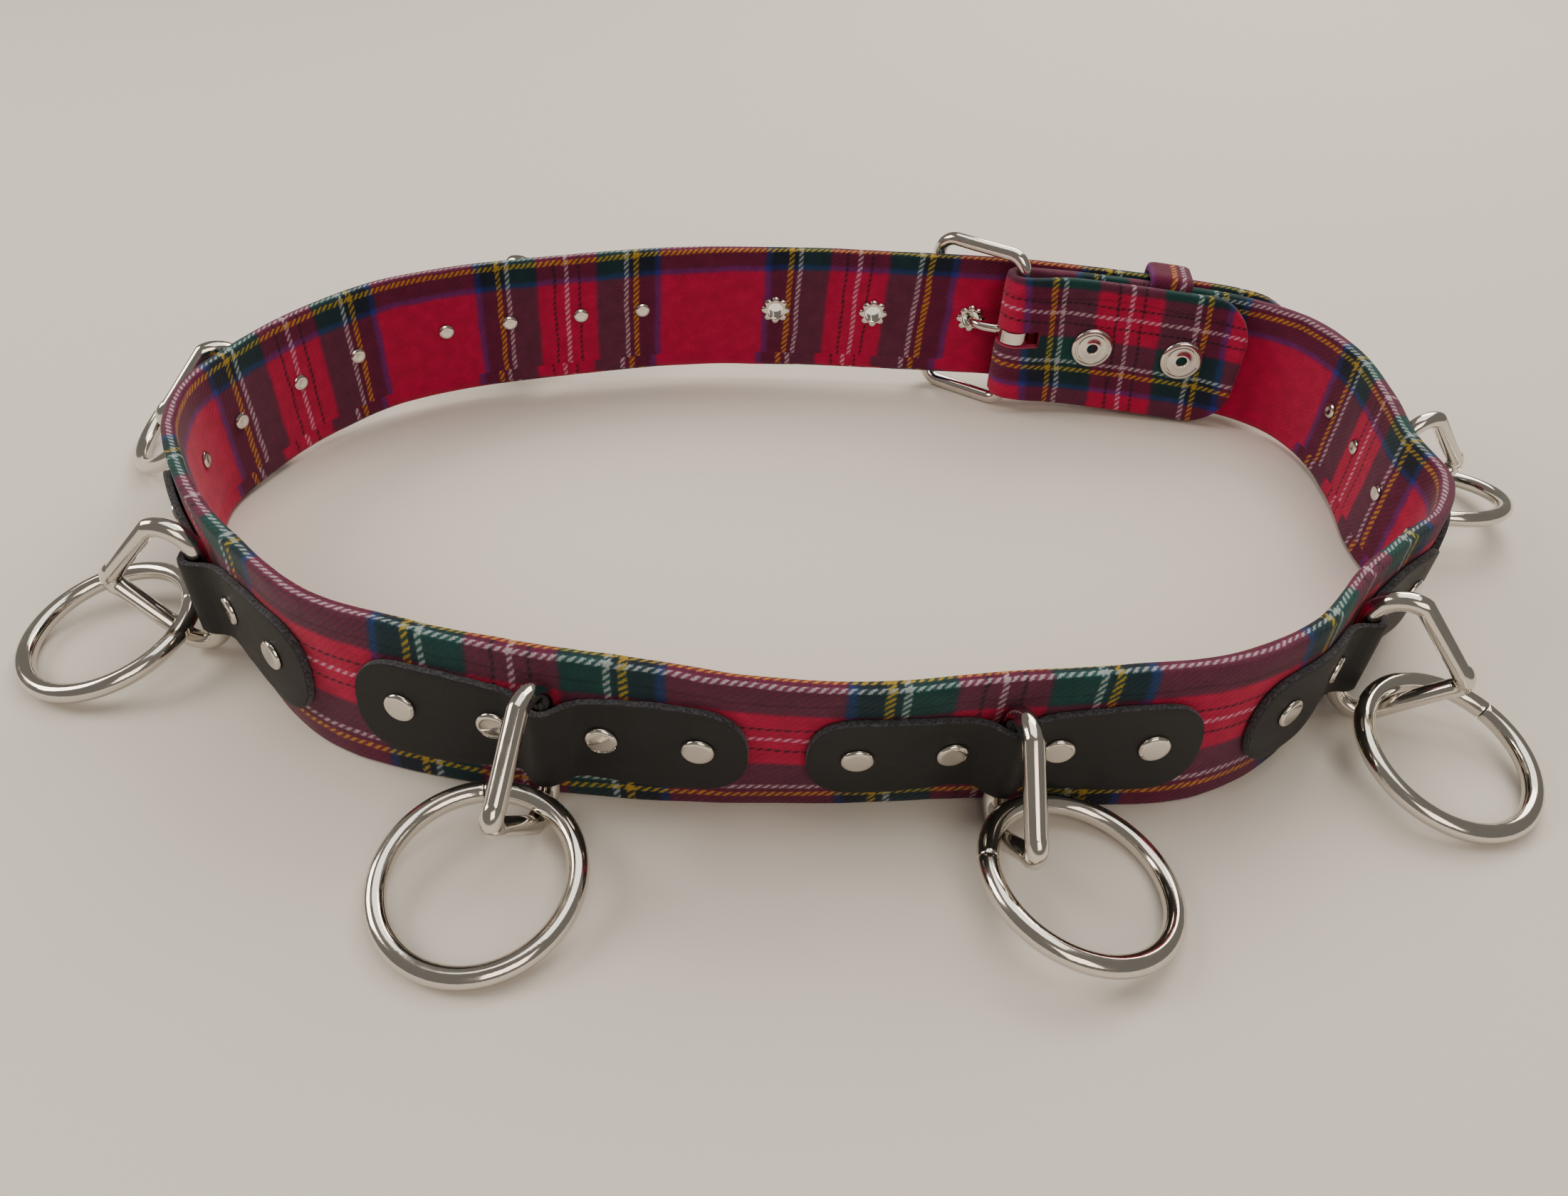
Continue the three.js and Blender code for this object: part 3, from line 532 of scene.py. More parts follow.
class StrapRun:
    """Middle line of the strap, smooth through its rows and read by distance."""

    SAMPLES = 16
    SLOPE_STEP = 1e-3
    FRAME_STEP = 0.5

    def __init__(self, rows: Sequence[RunRow]) -> None:
        """Works out the slope at each row and the distance to it."""
        centre = Vector((*PLAN_CENTRE, 0, 0))
        self.rows = [Vector(row) - centre for row in rows]
        self.spans = [(b.xy - a.xy).length for a, b in zip(self.rows, self.rows[1:])]
        steps = [(b - a) / span for a, b, span in zip(self.rows, self.rows[1:], self.spans)]
        self.slopes = [steps[0]]
        for before, after, near, far in zip(steps, steps[1:], self.spans, self.spans[1:]):
            self.slopes.append((after * near + before * far) / (near + far))
        self.slopes.append(steps[-1])
        self.distances = [0.0]
        last = self.rows[0]
        for number in range(1, len(self.spans) * self.SAMPLES + 1):
            here = self.values(number / self.SAMPLES)
            self.distances.append(self.distances[-1] + (here.xy - last.xy).length)
            last = here
        self.length = self.distances[-1]

    def values(self, place: float) -> Vector:
        """Row values at a place counted in rows."""
        row = min(int(place), len(self.spans) - 1)
        t = place - row
        reach = self.spans[row]
        passed = 3 * t ** 2 - 2 * t ** 3
        bend = self.slopes[row] * (t ** 3 - 2 * t ** 2 + t) + self.slopes[row + 1] * (t ** 3 - t ** 2)
        return self.rows[row] * (1 - passed) + self.rows[row + 1] * passed + bend * reach

    @lru_cache(maxsize=None)
    def at(self, distance: float) -> Station:
        """Station at a distance along the strap in mm."""
        clamped = min(max(distance, 0.0), self.length)
        before = min(bisect_right(self.distances, clamped) - 1, len(self.distances) - 2)
        low, high = self.distances[before], self.distances[before + 1]
        place = (before + (clamped - low) / (high - low)) / self.SAMPLES
        here = self.values(place)
        step = self.SLOPE_STEP
        travel = (self.values(place + step) - self.values(place - step)).xy.normalized()
        return Station(here.x, here.y, max(0.0, here.z), here.w,
                       Vector((*travel, 0)), Vector((-travel.y, travel.x, 0)))

    def frame(self, distance: float) -> tuple[Vector, Vector, Vector]:
        """Ways on, outward and up, square to the leaning wall at a distance."""
        middle = STRAP_HEIGHT / 2
        here = self.at(distance)
        up = (here.point(0, STRAP_HEIGHT) - here.point(0, 0)).normalized()
        before, after = (self.at(distance + side * self.FRAME_STEP).point(0, middle) for side in (-1, 1))
        travel = after - before
        out = up.cross(travel).normalized()
        return out.cross(up), out, up

    def through(self, distance: float, rise: float = 0.0) -> Matrix:
        """Matrix that puts +Z outward through the strap, at a rise above mid height."""
        travel, out, up = self.frame(distance)
        return placed(up, travel, out, self.at(distance).point(0, STRAP_HEIGHT / 2 + rise))


def placed(x: Vector, y: Vector, z: Vector, origin: Vector) -> Matrix:
    """Matrix with the given axes and origin."""
    return Matrix.Translation(origin) @ Matrix((x, y, z)).transposed().to_4x4()


RUN = StrapRun(RUN_ROWS)


def turned(profile: Sequence[tuple[float, float]], steps: int = 40) -> bmesh.types.BMesh:
    """Turns a profile about +Z.

    Args:
        profile: Radius and height of each point; it ends on the axis or closes on itself.
        steps: Steps round the axis.

    Returns:
        A closed mesh with its faces pointing outward.
    """
    mesh = bmesh.new()
    points = [mesh.verts.new((radius, 0, height)) for radius, height in profile]
    lines = [mesh.edges.new(pair) for pair in zip(points, points[1:])]
    bmesh.ops.spin(mesh, geom=points + lines, cent=(0, 0, 0), axis=(0, 0, 1), angle=math.tau,
                   steps=steps, use_merge=True)
    bmesh.ops.remove_doubles(mesh, verts=mesh.verts, dist=JOIN_ON_AXIS)
    bmesh.ops.recalc_face_normals(mesh, faces=mesh.faces)
    return mesh


class BentWire:
    """Round wire that is drawn on from its end, straight or round a bend."""

    END_ROUNDING = 0.35

    def __init__(self, start: Vector, travel: Vector, radius: float, sides: int = 20) -> None:
        """Begins with one ring of points square to the way of travel."""
        self.mesh = bmesh.new()
        turn = travel.to_track_quat("Z", "Y").to_matrix().to_4x4()
        ring = bmesh.ops.create_circle(self.mesh, segments=sides, radius=radius,
                                       matrix=Matrix.Translation(start) @ turn)
        self.points = ring["verts"]
        self.lines = list({edge for point in self.points for edge in point.link_edges})

    def straight(self, way: Vector) -> None:
        """Draws the wire on along a vector."""
        self.moved(Matrix.Translation(way))

    def moved(self, change: Matrix) -> None:
        """Draws the wire on by a change of its end's place, turn and size."""
        made = bmesh.ops.extrude_edge_only(self.mesh, edges=self.lines)["geom"]
        self.points = [part for part in made if isinstance(part, bmesh.types.BMVert)]
        self.lines = [part for part in made if isinstance(part, bmesh.types.BMEdge)
                      and all(end in self.points for end in part.verts)]
        bmesh.ops.transform(self.mesh, matrix=change, verts=self.points)

    def bend(self, centre: Vector, angle: float, steps: int) -> None:
        """Bends the wire on about +Z through a centre."""
        made = bmesh.ops.spin(self.mesh, geom=self.points + self.lines, cent=centre, axis=(0, 0, 1),
                              angle=angle, steps=steps, use_duplicate=False)["geom_last"]
        self.points = [part for part in made if isinstance(part, bmesh.types.BMVert)]
        self.lines = [part for part in made if isinstance(part, bmesh.types.BMEdge)]

    def finished(self) -> bmesh.types.BMesh:
        """Joins the ends where they meet, closes them where they don't, and points faces outward."""
        bmesh.ops.remove_doubles(self.mesh, verts=self.mesh.verts, dist=JOIN_WITHIN)
        ends = [edge for edge in self.mesh.edges if edge.is_boundary]
        if ends:
            bmesh.ops.holes_fill(self.mesh, edges=ends, sides=0)
            rims = [edge for edge in ends if edge.is_valid]
            bmesh.ops.bevel(self.mesh, geom=rims, offset=self.END_ROUNDING, offset_type="OFFSET",
                            affect="EDGES", segments=2, profile=0.5, material=-1)
        bmesh.ops.recalc_face_normals(self.mesh, faces=self.mesh.faces)
        return self.mesh


@dataclass
class Piece:
    """A finished piece of the belt: what it stands for, what it is made of and what carries it."""

    name: str
    mesh: bmesh.types.BMesh
    node: str
    slot: Slot = Slot.NICKEL
    body: str = Body.BELT.of()
    sharp_above: float = 40.0

    def make(self, place: Matrix | None = None) -> bpy.types.Object:
        """Turns the mesh to an object in metres, dresses it and fastens it to its body.

        Args:
            place: Where the mesh goes in the belt's frame, in mm.

        Returns:
            The object, at the origin with its place in its mesh.
        """
        data = to_data(self.name, self.mesh, Matrix.Scale(MM, 4) @ (place or Matrix()))
        data.shade_smooth()
        data.set_sharp_from_angle(angle=math.radians(self.sharp_above))
        for finish in FINISHES[self.slot]:
            data.materials.append(finish.material())
        made = added(self.name, data)
        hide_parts(self.node)
        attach(made, self.body)
        log.info("%s: %d faces, rides on %s", self.name, len(data.polygons), self.body)
        return made


def cloth_tube(columns: int, rows: int, place: Callable[[int, int], Vector],
               cloth: Callable[[int, int, int], tuple[float, float]],
               surface: Callable[[int, int], tuple[float, float]]) -> bmesh.types.BMesh:
    """Bends a flat grid of cloth into a closed tube and keeps its two maps in mm.

    Args:
        columns: Cells along the tube.
        rows: Cells round it.
        place: Point for a column and a row of the grid.
        cloth: Place in the tartan for a column, a row and the lowest row of the face.
        surface: Distance along and round for a column and a row.

    Returns:
        A closed mesh with its faces pointing outward.
    """
    mesh = bmesh.new()
    bmesh.ops.create_grid(mesh, x_segments=columns, y_segments=rows, size=0.5)
    cloth_map = mesh.loops.layers.uv.new(CLOTH_MAP)
    surface_map = mesh.loops.layers.uv.new(SURFACE_MAP)
    spots = {point: (round((point.co.x + 0.5) * columns), round((point.co.y + 0.5) * rows))
             for point in mesh.verts}
    for face in mesh.faces:
        lowest = min(spots[point][1] for point in face.verts)
        for loop in face.loops:
            loop[cloth_map].uv = cloth(*spots[loop.vert], lowest)
            loop[surface_map].uv = surface(*spots[loop.vert])
    for point, spot in spots.items():
        point.co = place(*spot)
    bmesh.ops.remove_doubles(mesh, verts=mesh.verts, dist=JOIN_WITHIN)
    return closed(mesh)


@dataclass
class Strap:
    """Cloth-covered strap: one long tube, its own end folded round the buckle's hinge bar."""

    height: float = STRAP_HEIGHT
    thickness: float = STRAP_THICKNESS
    thinning: float = 10.0
    flap_length: float = 82.0
    flap_height: float = 47.5
    flap_droop: float = 1.2
    corner: float = 1.2
    fold_radius: float = 4.45
    flap_offset_at_fold: float = 8.9
    flap_eased_by: float = 18.0
    flap_end_radius: float = 16.0
    tip_radius: float = 20.0
    column_step: float = 2.3
    hem_height: float = 5.4
    hem_thickness: float = 0.45
    hem_slip: float = 3.5
    wrinkle: float = 0.28
    sunk: float = 0.6
    ruffle_lengths: tuple[float, float] = (17, 6)
    ruffle_heights: tuple[float, float] = (11, 5)
    thin_end: float = 0.25
    eyelet_hole: float = 3.6
    eyelet_cut: float = 6.4
    slot_low: tuple[float, float] = (64, 350)
    slot_high: tuple[float, float] = (84.5, 366)
    slot_half_height: float = 3.0

    HEM_ROWS = 3
    CORNER_ROWS = 3
    OUTER_ROWS = 20
    INNER_ROWS = 18
    END_DEGREES = range(0, 90, 6)
    END_ROUNDING = 2.0

    def __post_init__(self) -> None:
        """Works out the run's ends and the section's rows."""
        self.fold = math.pi * self.fold_radius
        self.flap_tip = -self.fold - self.flap_length
        self.straight = self.height / 2 - self.corner
        self.round = math.pi / 2 * self.corner
        self.flat = self.thickness - 2 * self.corner
        self.edge = 2 * self.round + self.flat
        self.stations = self.columns()
        self.rows = self.girths()

    def columns(self) -> list[float]:
        """Distances of the grid's columns, closer together at the round ends."""
        near = [self.tip_radius * (1 - math.cos(math.radians(turn))) for turn in self.END_DEGREES]
        first = self.flap_tip + near[-1]
        last = RUN.length - near[-1]
        cells = math.ceil((last - first) / self.column_step)
        between = [first + (last - first) * i / cells for i in range(1, cells)]
        return [self.flap_tip + d for d in near] + between + [RUN.length - d for d in reversed(near)]

    def girths(self) -> list[float]:
        """Distances round the section, from the hem's top, down, out, up and in to it again."""
        edge = ((self.round, self.CORNER_ROWS), (self.flat, 1), (self.round, self.CORNER_ROWS))
        hem = self.hem_height - self.corner
        spans = ((hem, self.HEM_ROWS), *edge, (2 * self.straight, self.OUTER_ROWS), *edge,
                 (2 * self.straight - hem, self.INNER_ROWS))
        rows = [-self.straight - self.edge - hem]
        for length, cells in spans:
            start = rows[-1]
            rows += [start + length * (i + 1) / cells for i in range(cells)]
        return rows

    def section(self, girth: float) -> tuple[float, float]:
        """Offset outward and height from the middle at a distance round the section."""
        side = math.copysign(1.0, girth)
        half = self.thickness / 2
        past = abs(girth) - self.straight
        if past <= 0:
            return half, girth
        if past < self.round:
            turn = past / self.corner
            return (half - self.corner * (1 - math.cos(turn)),
                    side * (self.straight + self.corner * math.sin(turn)))
        past -= self.round
        if past <= self.flat:
            return self.flat / 2 - past, side * self.height / 2
        past -= self.flat
        if past < self.round:
            turn = past / self.corner
            return (-self.flat / 2 - self.corner * math.sin(turn),
                    side * (self.straight + self.corner * math.cos(turn)))
        return -half, side * (self.straight - (past - self.round))

    def flap_share(self, distance: float) -> float:
        """Share of the flap's growth at a distance: 0 on the main strap, 1 along the flap."""
        return smooth(-distance / (self.fold + self.flap_eased_by))

    def flap_place(self, distance: float) -> tuple[Vector, Vector]:
        """Middle line and outward way of the fold and flap, for distances below zero."""
        raised = self.height / 2 - self.flap_droop * self.flap_share(distance)
        if distance > -self.fold:
            turn = math.pi / 2 - distance / self.fold_radius
            out = Vector((math.cos(turn), math.sin(turn), 0))
            return Vector((*HINGE, BUCKLE_LIFT + raised)) + out * self.fold_radius, out
        along = -self.fold - distance
        here = RUN.at(along)
        ease = smooth(along / self.flap_eased_by)
        offset = self.flap_offset_at_fold + (FLAP_END_OFFSET - self.flap_offset_at_fold) * ease
        return Vector((here.x, here.y, here.lift + raised)) - here.out * offset, -here.out

    def end_share(self, distance: float) -> tuple[float, float]:
        """Height and thickness here as shares of the strap's: the flap is taller, its ends are round."""
        from_flap = distance - self.flap_tip
        from_tip = RUN.length - distance
        reach, radius = min((from_flap, self.flap_end_radius), (from_tip, self.tip_radius))
        inside = max(0.0, radius - reach)
        full = self.height + (self.flap_height - self.height) * self.flap_share(distance)
        half = full / 2 - radius + math.sqrt(max(0.0, radius ** 2 - inside ** 2))
        rounding = min(reach / self.END_ROUNDING, 1.0)
        thick = self.thin_end + (1 - self.thin_end) * math.sqrt(rounding * (2 - rounding))
        return half / (self.height / 2), thick

    def place(self, column: int, row: int) -> Vector:
        """Point of the strap's surface for a column and a row of its grid."""
        distance = self.stations[column]
        offset, height = self.section(self.rows[row])
        hem = -self.hem_thickness if 0 < row <= self.HEM_ROWS else 0.0
        tall, thick = self.end_share(distance)
        (long, short), (high, low) = self.ruffle_lengths, self.ruffle_heights
        ruffle = noise.noise(Vector((distance / long, height / high, offset)))
        ruffle += 0.5 * noise.noise(Vector((distance / short, height / low, offset + 9))) - self.sunk
        offset = (offset + hem + math.copysign(1.0, offset) * self.wrinkle * ruffle) * thick
        height *= tall
        if distance < 0:
            middle, out = self.flap_place(distance)
            return middle + out * (offset * FLAP_THICKNESS / self.thickness) + Vector((0, 0, height))
        share = min(1.0, distance / self.thinning)
        thinned = (FLAP_THICKNESS + (self.thickness - FLAP_THICKNESS) * share) / self.thickness
        return RUN.at(distance).point(offset * thinned, self.height / 2 + height)

    def cloth(self, column: int, row: int, lowest: int) -> tuple[float, float]:
        """Place in the tartan; the turned-up hem doesn't line up with the face above it."""
        distance, girth = self.stations[column], self.rows[row]
        tall, _ = self.end_share(distance)
        middle = math.copysign(2 * self.straight + self.edge, girth)
        inner = abs(girth) > self.straight + self.edge / 2
        height = middle - (middle - girth) * tall if inner else girth * tall
        shift, slip, skew = (eased(CLOTH_ROWS, distance, name) for name in ClothRow._fields[1:])
        reach = girth if distance < 0 else max(0.0, girth - self.straight - self.edge)
        slipped = self.hem_slip if lowest < self.HEM_ROWS else 0.0
        return distance + slip + skew * reach + slipped, height - shift

    def surface(self, column: int, row: int) -> tuple[float, float]:
        """Plain distances along and round the strap."""
        return self.stations[column], self.rows[row]

    def cutters(self) -> list[bmesh.types.BMesh]:
        """Solids of the eyelets' holes and of the prong's slot in the fold."""
        cutters = []
        for distance in EYELET_STATIONS:
            hole = bmesh.new()
            bmesh.ops.create_cone(hole, cap_ends=True, segments=24, radius1=self.eyelet_hole,
                                  radius2=self.eyelet_hole, depth=self.eyelet_cut,
                                  matrix=RUN.through(distance))
            cutters.append(hole)
        low = Vector(self.slot_low) - PLAN_CENTRE
        high = Vector(self.slot_high) - PLAN_CENTRE
        slot = bmesh.new()
        middle = Vector((*(low + high) / 2, BUCKLE_LIFT + self.height / 2))
        size = Matrix.Diagonal((*(high - low), 2 * self.slot_half_height, 1))
        bmesh.ops.create_cube(slot, size=1, matrix=Matrix.Translation(middle) @ size)
        cutters.append(slot)
        return cutters

    def make(self) -> None:
        """Makes the strap and cuts its holes."""
        mesh = cloth_tube(len(self.stations) - 1, len(self.rows) - 1, self.place, self.cloth, self.surface)
        made = Piece("covered_strap", mesh, "strap", Slot.TARTAN, sharp_above=60).make()
        for number, cutter in enumerate(self.cutters()):
            cut_through(made, cutter, f"strap_hole_{number}")


def cut_through(made: bpy.types.Object, cutter: bmesh.types.BMesh, name: str) -> None:
    """Cuts a solid out of a piece and applies the cut.

    Args:
        made: The piece, in metres.
        cutter: The solid to take away, in mm; it is freed.
        name: Name of the cutter while it is in use.
    """
    solid = added(name, to_data(name, cutter, Matrix.Scale(MM, 4)))
    modifier = made.modifiers.new(name, "BOOLEAN")
    modifier.operation = "DIFFERENCE"
    modifier.solver = "EXACT"
    modifier.object = solid
    graph = bpy.context.evaluated_depsgraph_get()
    result = bpy.data.meshes.new_from_object(made.evaluated_get(graph), depsgraph=graph)
    made.modifiers.remove(modifier)
    made.data = result
    bpy.data.objects.remove(solid)


@dataclass
class LeatherTab:
    """Leather tab riveted to the outside of the strap, bulging over the bar of its D-ring."""

    number: int
    row: TabRow
    half_length: float = 45.3
    lobe_start: float = 33.5
    lobe_power: float = 2.4
    rim_rounding: float = 0.45
    crowding: float = math.pi / 2 * 0.92
    crowded_share: float = 0.45
    slope_step: float = 0.2
    cells_along: int = 84
    cells_up: int = 12

    def half_height(self, along: float) -> float:
        """Half height of the outline, closing to a round lobe at each end."""
        reach = abs(along)
        half = eased(TAB_SHAPE, reach, "half_height")
        if reach <= self.lobe_start:
            return half
        share = min((reach - self.lobe_start) / (self.half_length - self.lobe_start), 0.995)
        return half * (1 - share ** self.lobe_power) ** (1 / self.lobe_power)

    def bent(self, flat: Vector) -> Vector:
        """Carries a point of the flat tab to the strap; its height becomes height off the inner face."""
        along, up, depth = flat
        bulge = eased(TAB_SHAPE, abs(along), "bulge")
        before, after = (eased(TAB_SHAPE, abs(along + side * self.slope_step), "bulge") for side in (-1, 1))
        slope = (after - before) / (2 * self.slope_step)
        travel, out, _ = RUN.frame(self.row.station + along)
        base = RUN.at(self.row.station + along).point(STRAP_THICKNESS / 2 + bulge, STRAP_HEIGHT / 2 + up)
        return base + (out - travel * slope).normalized() * depth

    def make(self) -> None:
        """Cuts the outline, rounds its rim and bends it over the strap and the bar."""
        mesh = bmesh.new()
        bmesh.ops.create_grid(mesh, x_segments=self.cells_along, y_segments=self.cells_up, size=1)
        for point in mesh.verts:
            crowded = math.sin(point.co.x * self.crowding) / math.sin(self.crowding)
            along = self.half_length * ((1 - self.crowded_share) * point.co.x + self.crowded_share * crowded)
            point.co = Vector((along, point.co.y * self.half_height(along), 0))
        lifted = bmesh.ops.extrude_face_region(mesh, geom=mesh.faces[:])["geom"]
        top = [part for part in lifted if isinstance(part, bmesh.types.BMVert)]
        bmesh.ops.translate(mesh, vec=(0, 0, TAB_THICKNESS), verts=top)
        bmesh.ops.recalc_face_normals(mesh, faces=mesh.faces)
        sides = {face for face in mesh.faces if abs(face.normal.z) < 0.5}
        for face in sides:
            face.material_index = 1
        rims = [edge for edge in mesh.edges if sum(face in sides for face in edge.link_faces) == 1]
        bmesh.ops.bevel(mesh, geom=rims, offset=self.rim_rounding, offset_type="OFFSET",
                        affect="EDGES", segments=2, profile=0.5, material=-1)
        for point in mesh.verts:
            point.co = self.bent(point.co)
        bmesh.ops.recalc_face_normals(mesh, faces=mesh.faces)
        Piece(f"cut_tab_{self.number}", mesh, f"leather_tab_{self.number}", Slot.LEATHER,
              sharp_above=50).make()


@dataclass
class Rivets:
    """Four rivets of a tab: flat caps with a rolled rim outside, small heads inside."""

    number: int
    row: TabRow
    along: tuple[float, ...] = (-34, -12.3, 12.3, 34)
    cap_radius: float = 3.85
    cap_height: float = 1.15
    back_radius: float = 2.5
    back_height: float = 0.75
    shank_radius: float = 1.4
    cap_face: float = STRAP_THICKNESS / 2 + 0.3 + TAB_THICKNESS
    back_face: float = -STRAP_THICKNESS / 2 - 0.1
    dented: tuple[tuple[int, int], ...] = ((4, 2), (4, 3))
    dent_way: tuple[float, float, float] = (-0.153, -0.0748, 0)
    rise: float = 1.0

    BACK_STEPS = ((0, 0.75), (0.9, 0.8), (1.5, 1), (2.1, 0.8))
    RIM_STEPS = ((0.15, 0), (0, 0.2), (0.06, 0.5), (0.3, 0.76), (0.75, 0.91))
    DOME_RINGS = 7

    def profile(self) -> list[tuple[float, float]]:
        """Radius and height from the back head's middle to the cap's middle."""
        back, cap = self.back_face, self.cap_face
        tall, wide = self.cap_height, self.cap_radius
        dome = ((1.15 + 0.36 * ring, 0.95 + 0.01 * ring) for ring in range(self.DOME_RINGS))
        return [
            *((radius, back - self.back_height * share) for radius, share in self.BACK_STEPS),
            (self.back_radius, back - self.back_height * 0.3), (self.back_radius, back),
            (self.shank_radius, back), (self.shank_radius, cap),
            *((wide - inset, cap + share * tall) for inset, share in (*self.RIM_STEPS, *dome)),
            (0, cap + 1.03 * tall),
        ]

    def dent(self, mesh: bmesh.types.BMesh) -> None:
        """Presses the lower part of a cap flat, at a slope."""
        for point in mesh.verts:
            if point.co.z > self.cap_face + 0.5 * self.cap_height:
                point.co.z -= max(0.0, point.co.dot(self.dent_way))

    def make(self) -> None:
        """Makes the four rivets and sets them through the tab and the strap."""
        for place, along in enumerate(self.along, start=1):
            mesh = turned(self.profile())
            if (self.number, place) in self.dented:
                self.dent(mesh)
            piece = Piece(f"domed_rivet_{self.number}_{place}", mesh, f"rivet_{self.number}_{place}")
            piece.make(RUN.through(self.row.station + along, self.rise))


@dataclass
class Rings:
    """D-ring held in a tab and the O-ring that hangs on it."""

    number: int
    row: TabRow
    wire_radius: float = 2.5
    o_radius: float = 21.5
    seam_gap: float = 0.12
    half_height: float = 18.5
    depth: float = 26.0
    corner_radius: float = 7.5
    tip_radius: float = 3.2
    bar_stand_off: float = 2.85
    floor_gap: float = 0.05
    bend_steps: int = 20
    o_ring_steps: int = 110

    def d_ring(self) -> bmesh.types.BMesh:
        """Wire bent to a D: straight bar on the Y axis, sides closing to a round tip."""
        corner = Vector((self.corner_radius, self.half_height - self.corner_radius, 0))
        tip = Vector((self.depth - self.tip_radius, 0, 0))
        slope = math.atan2(corner.y, tip.x - corner.x)
        between = (tip - corner).length
        side = math.pi / 2 - slope + math.asin((self.corner_radius - self.tip_radius) / between)
        facing = Vector((math.cos(side), math.sin(side), 0))
        lower = Vector((corner.x, -corner.y, 0))
        start = tip + Vector((facing.x, -facing.y, 0)) * self.tip_radius
        way = corner + facing * self.corner_radius - tip - facing * self.tip_radius
        wire = BentWire(start, Vector((facing.y, facing.x, 0)), self.wire_radius)
        wire.bend(tip, 2 * side, self.bend_steps)
        wire.straight(way)
        wire.bend(corner, math.pi - side, self.bend_steps)
        wire.straight(Vector((0, -2 * corner.y, 0)))
        wire.bend(lower, math.pi - side, self.bend_steps)
        wire.straight(Vector((-way.x, way.y, 0)))
        return wire.finished()

    def d_place(self) -> Matrix:
        """Where the D-ring is: its bar along the strap's height, swung round it."""
        travel, out, up = RUN.frame(self.row.station)
        across = Matrix.Rotation(math.radians(self.row.swing), 3, up) @ out
        middle = RUN.at(self.row.station).point(0, STRAP_HEIGHT / 2) - up * self.row.drop
        middle += out * (STRAP_THICKNESS / 2 + self.bar_stand_off)
        return placed(across, up, across.cross(up), middle)

    def o_ring(self) -> bmesh.types.BMesh:
        """Wire bent to a circle, its ends butted together at the seam."""
        seam = math.radians(self.row.seam - self.row.uphill)
        gap = self.seam_gap / self.o_radius
        start = Vector((math.cos(seam + gap / 2), math.sin(seam + gap / 2), 0))
        wire = BentWire(start * self.o_radius, Vector((-start.y, start.x, 0)), self.wire_radius)
        wire.bend(Vector(), math.tau - gap, self.o_ring_steps)
        return wire.finished()

    def o_place(self) -> Matrix:
        """Where the O-ring is: one side on the floor, the other up on the D-ring."""
        tilt = math.radians(self.row.tilt)
        height = self.o_radius * math.sin(tilt) + self.wire_radius + self.floor_gap
        middle = Vector((self.row.ring_x - PLAN_CENTRE.x, self.row.ring_y - PLAN_CENTRE.y, height))
        turn = Matrix.Rotation(math.radians(self.row.uphill), 4, "Z")
        return Matrix.Translation(middle) @ turn @ Matrix.Rotation(-tilt, 4, "Y")

    def make(self) -> None:
        """Makes both rings."""
        body = Body.RINGS.of(self.number)
        for kind, mesh, place in (("d_ring", self.d_ring(), self.d_place()),
                                  ("o_ring", self.o_ring(), self.o_place())):
            node = f"{kind}_{self.number}"
            Piece(f"polished_{node}", mesh, node, body=body).make(place)


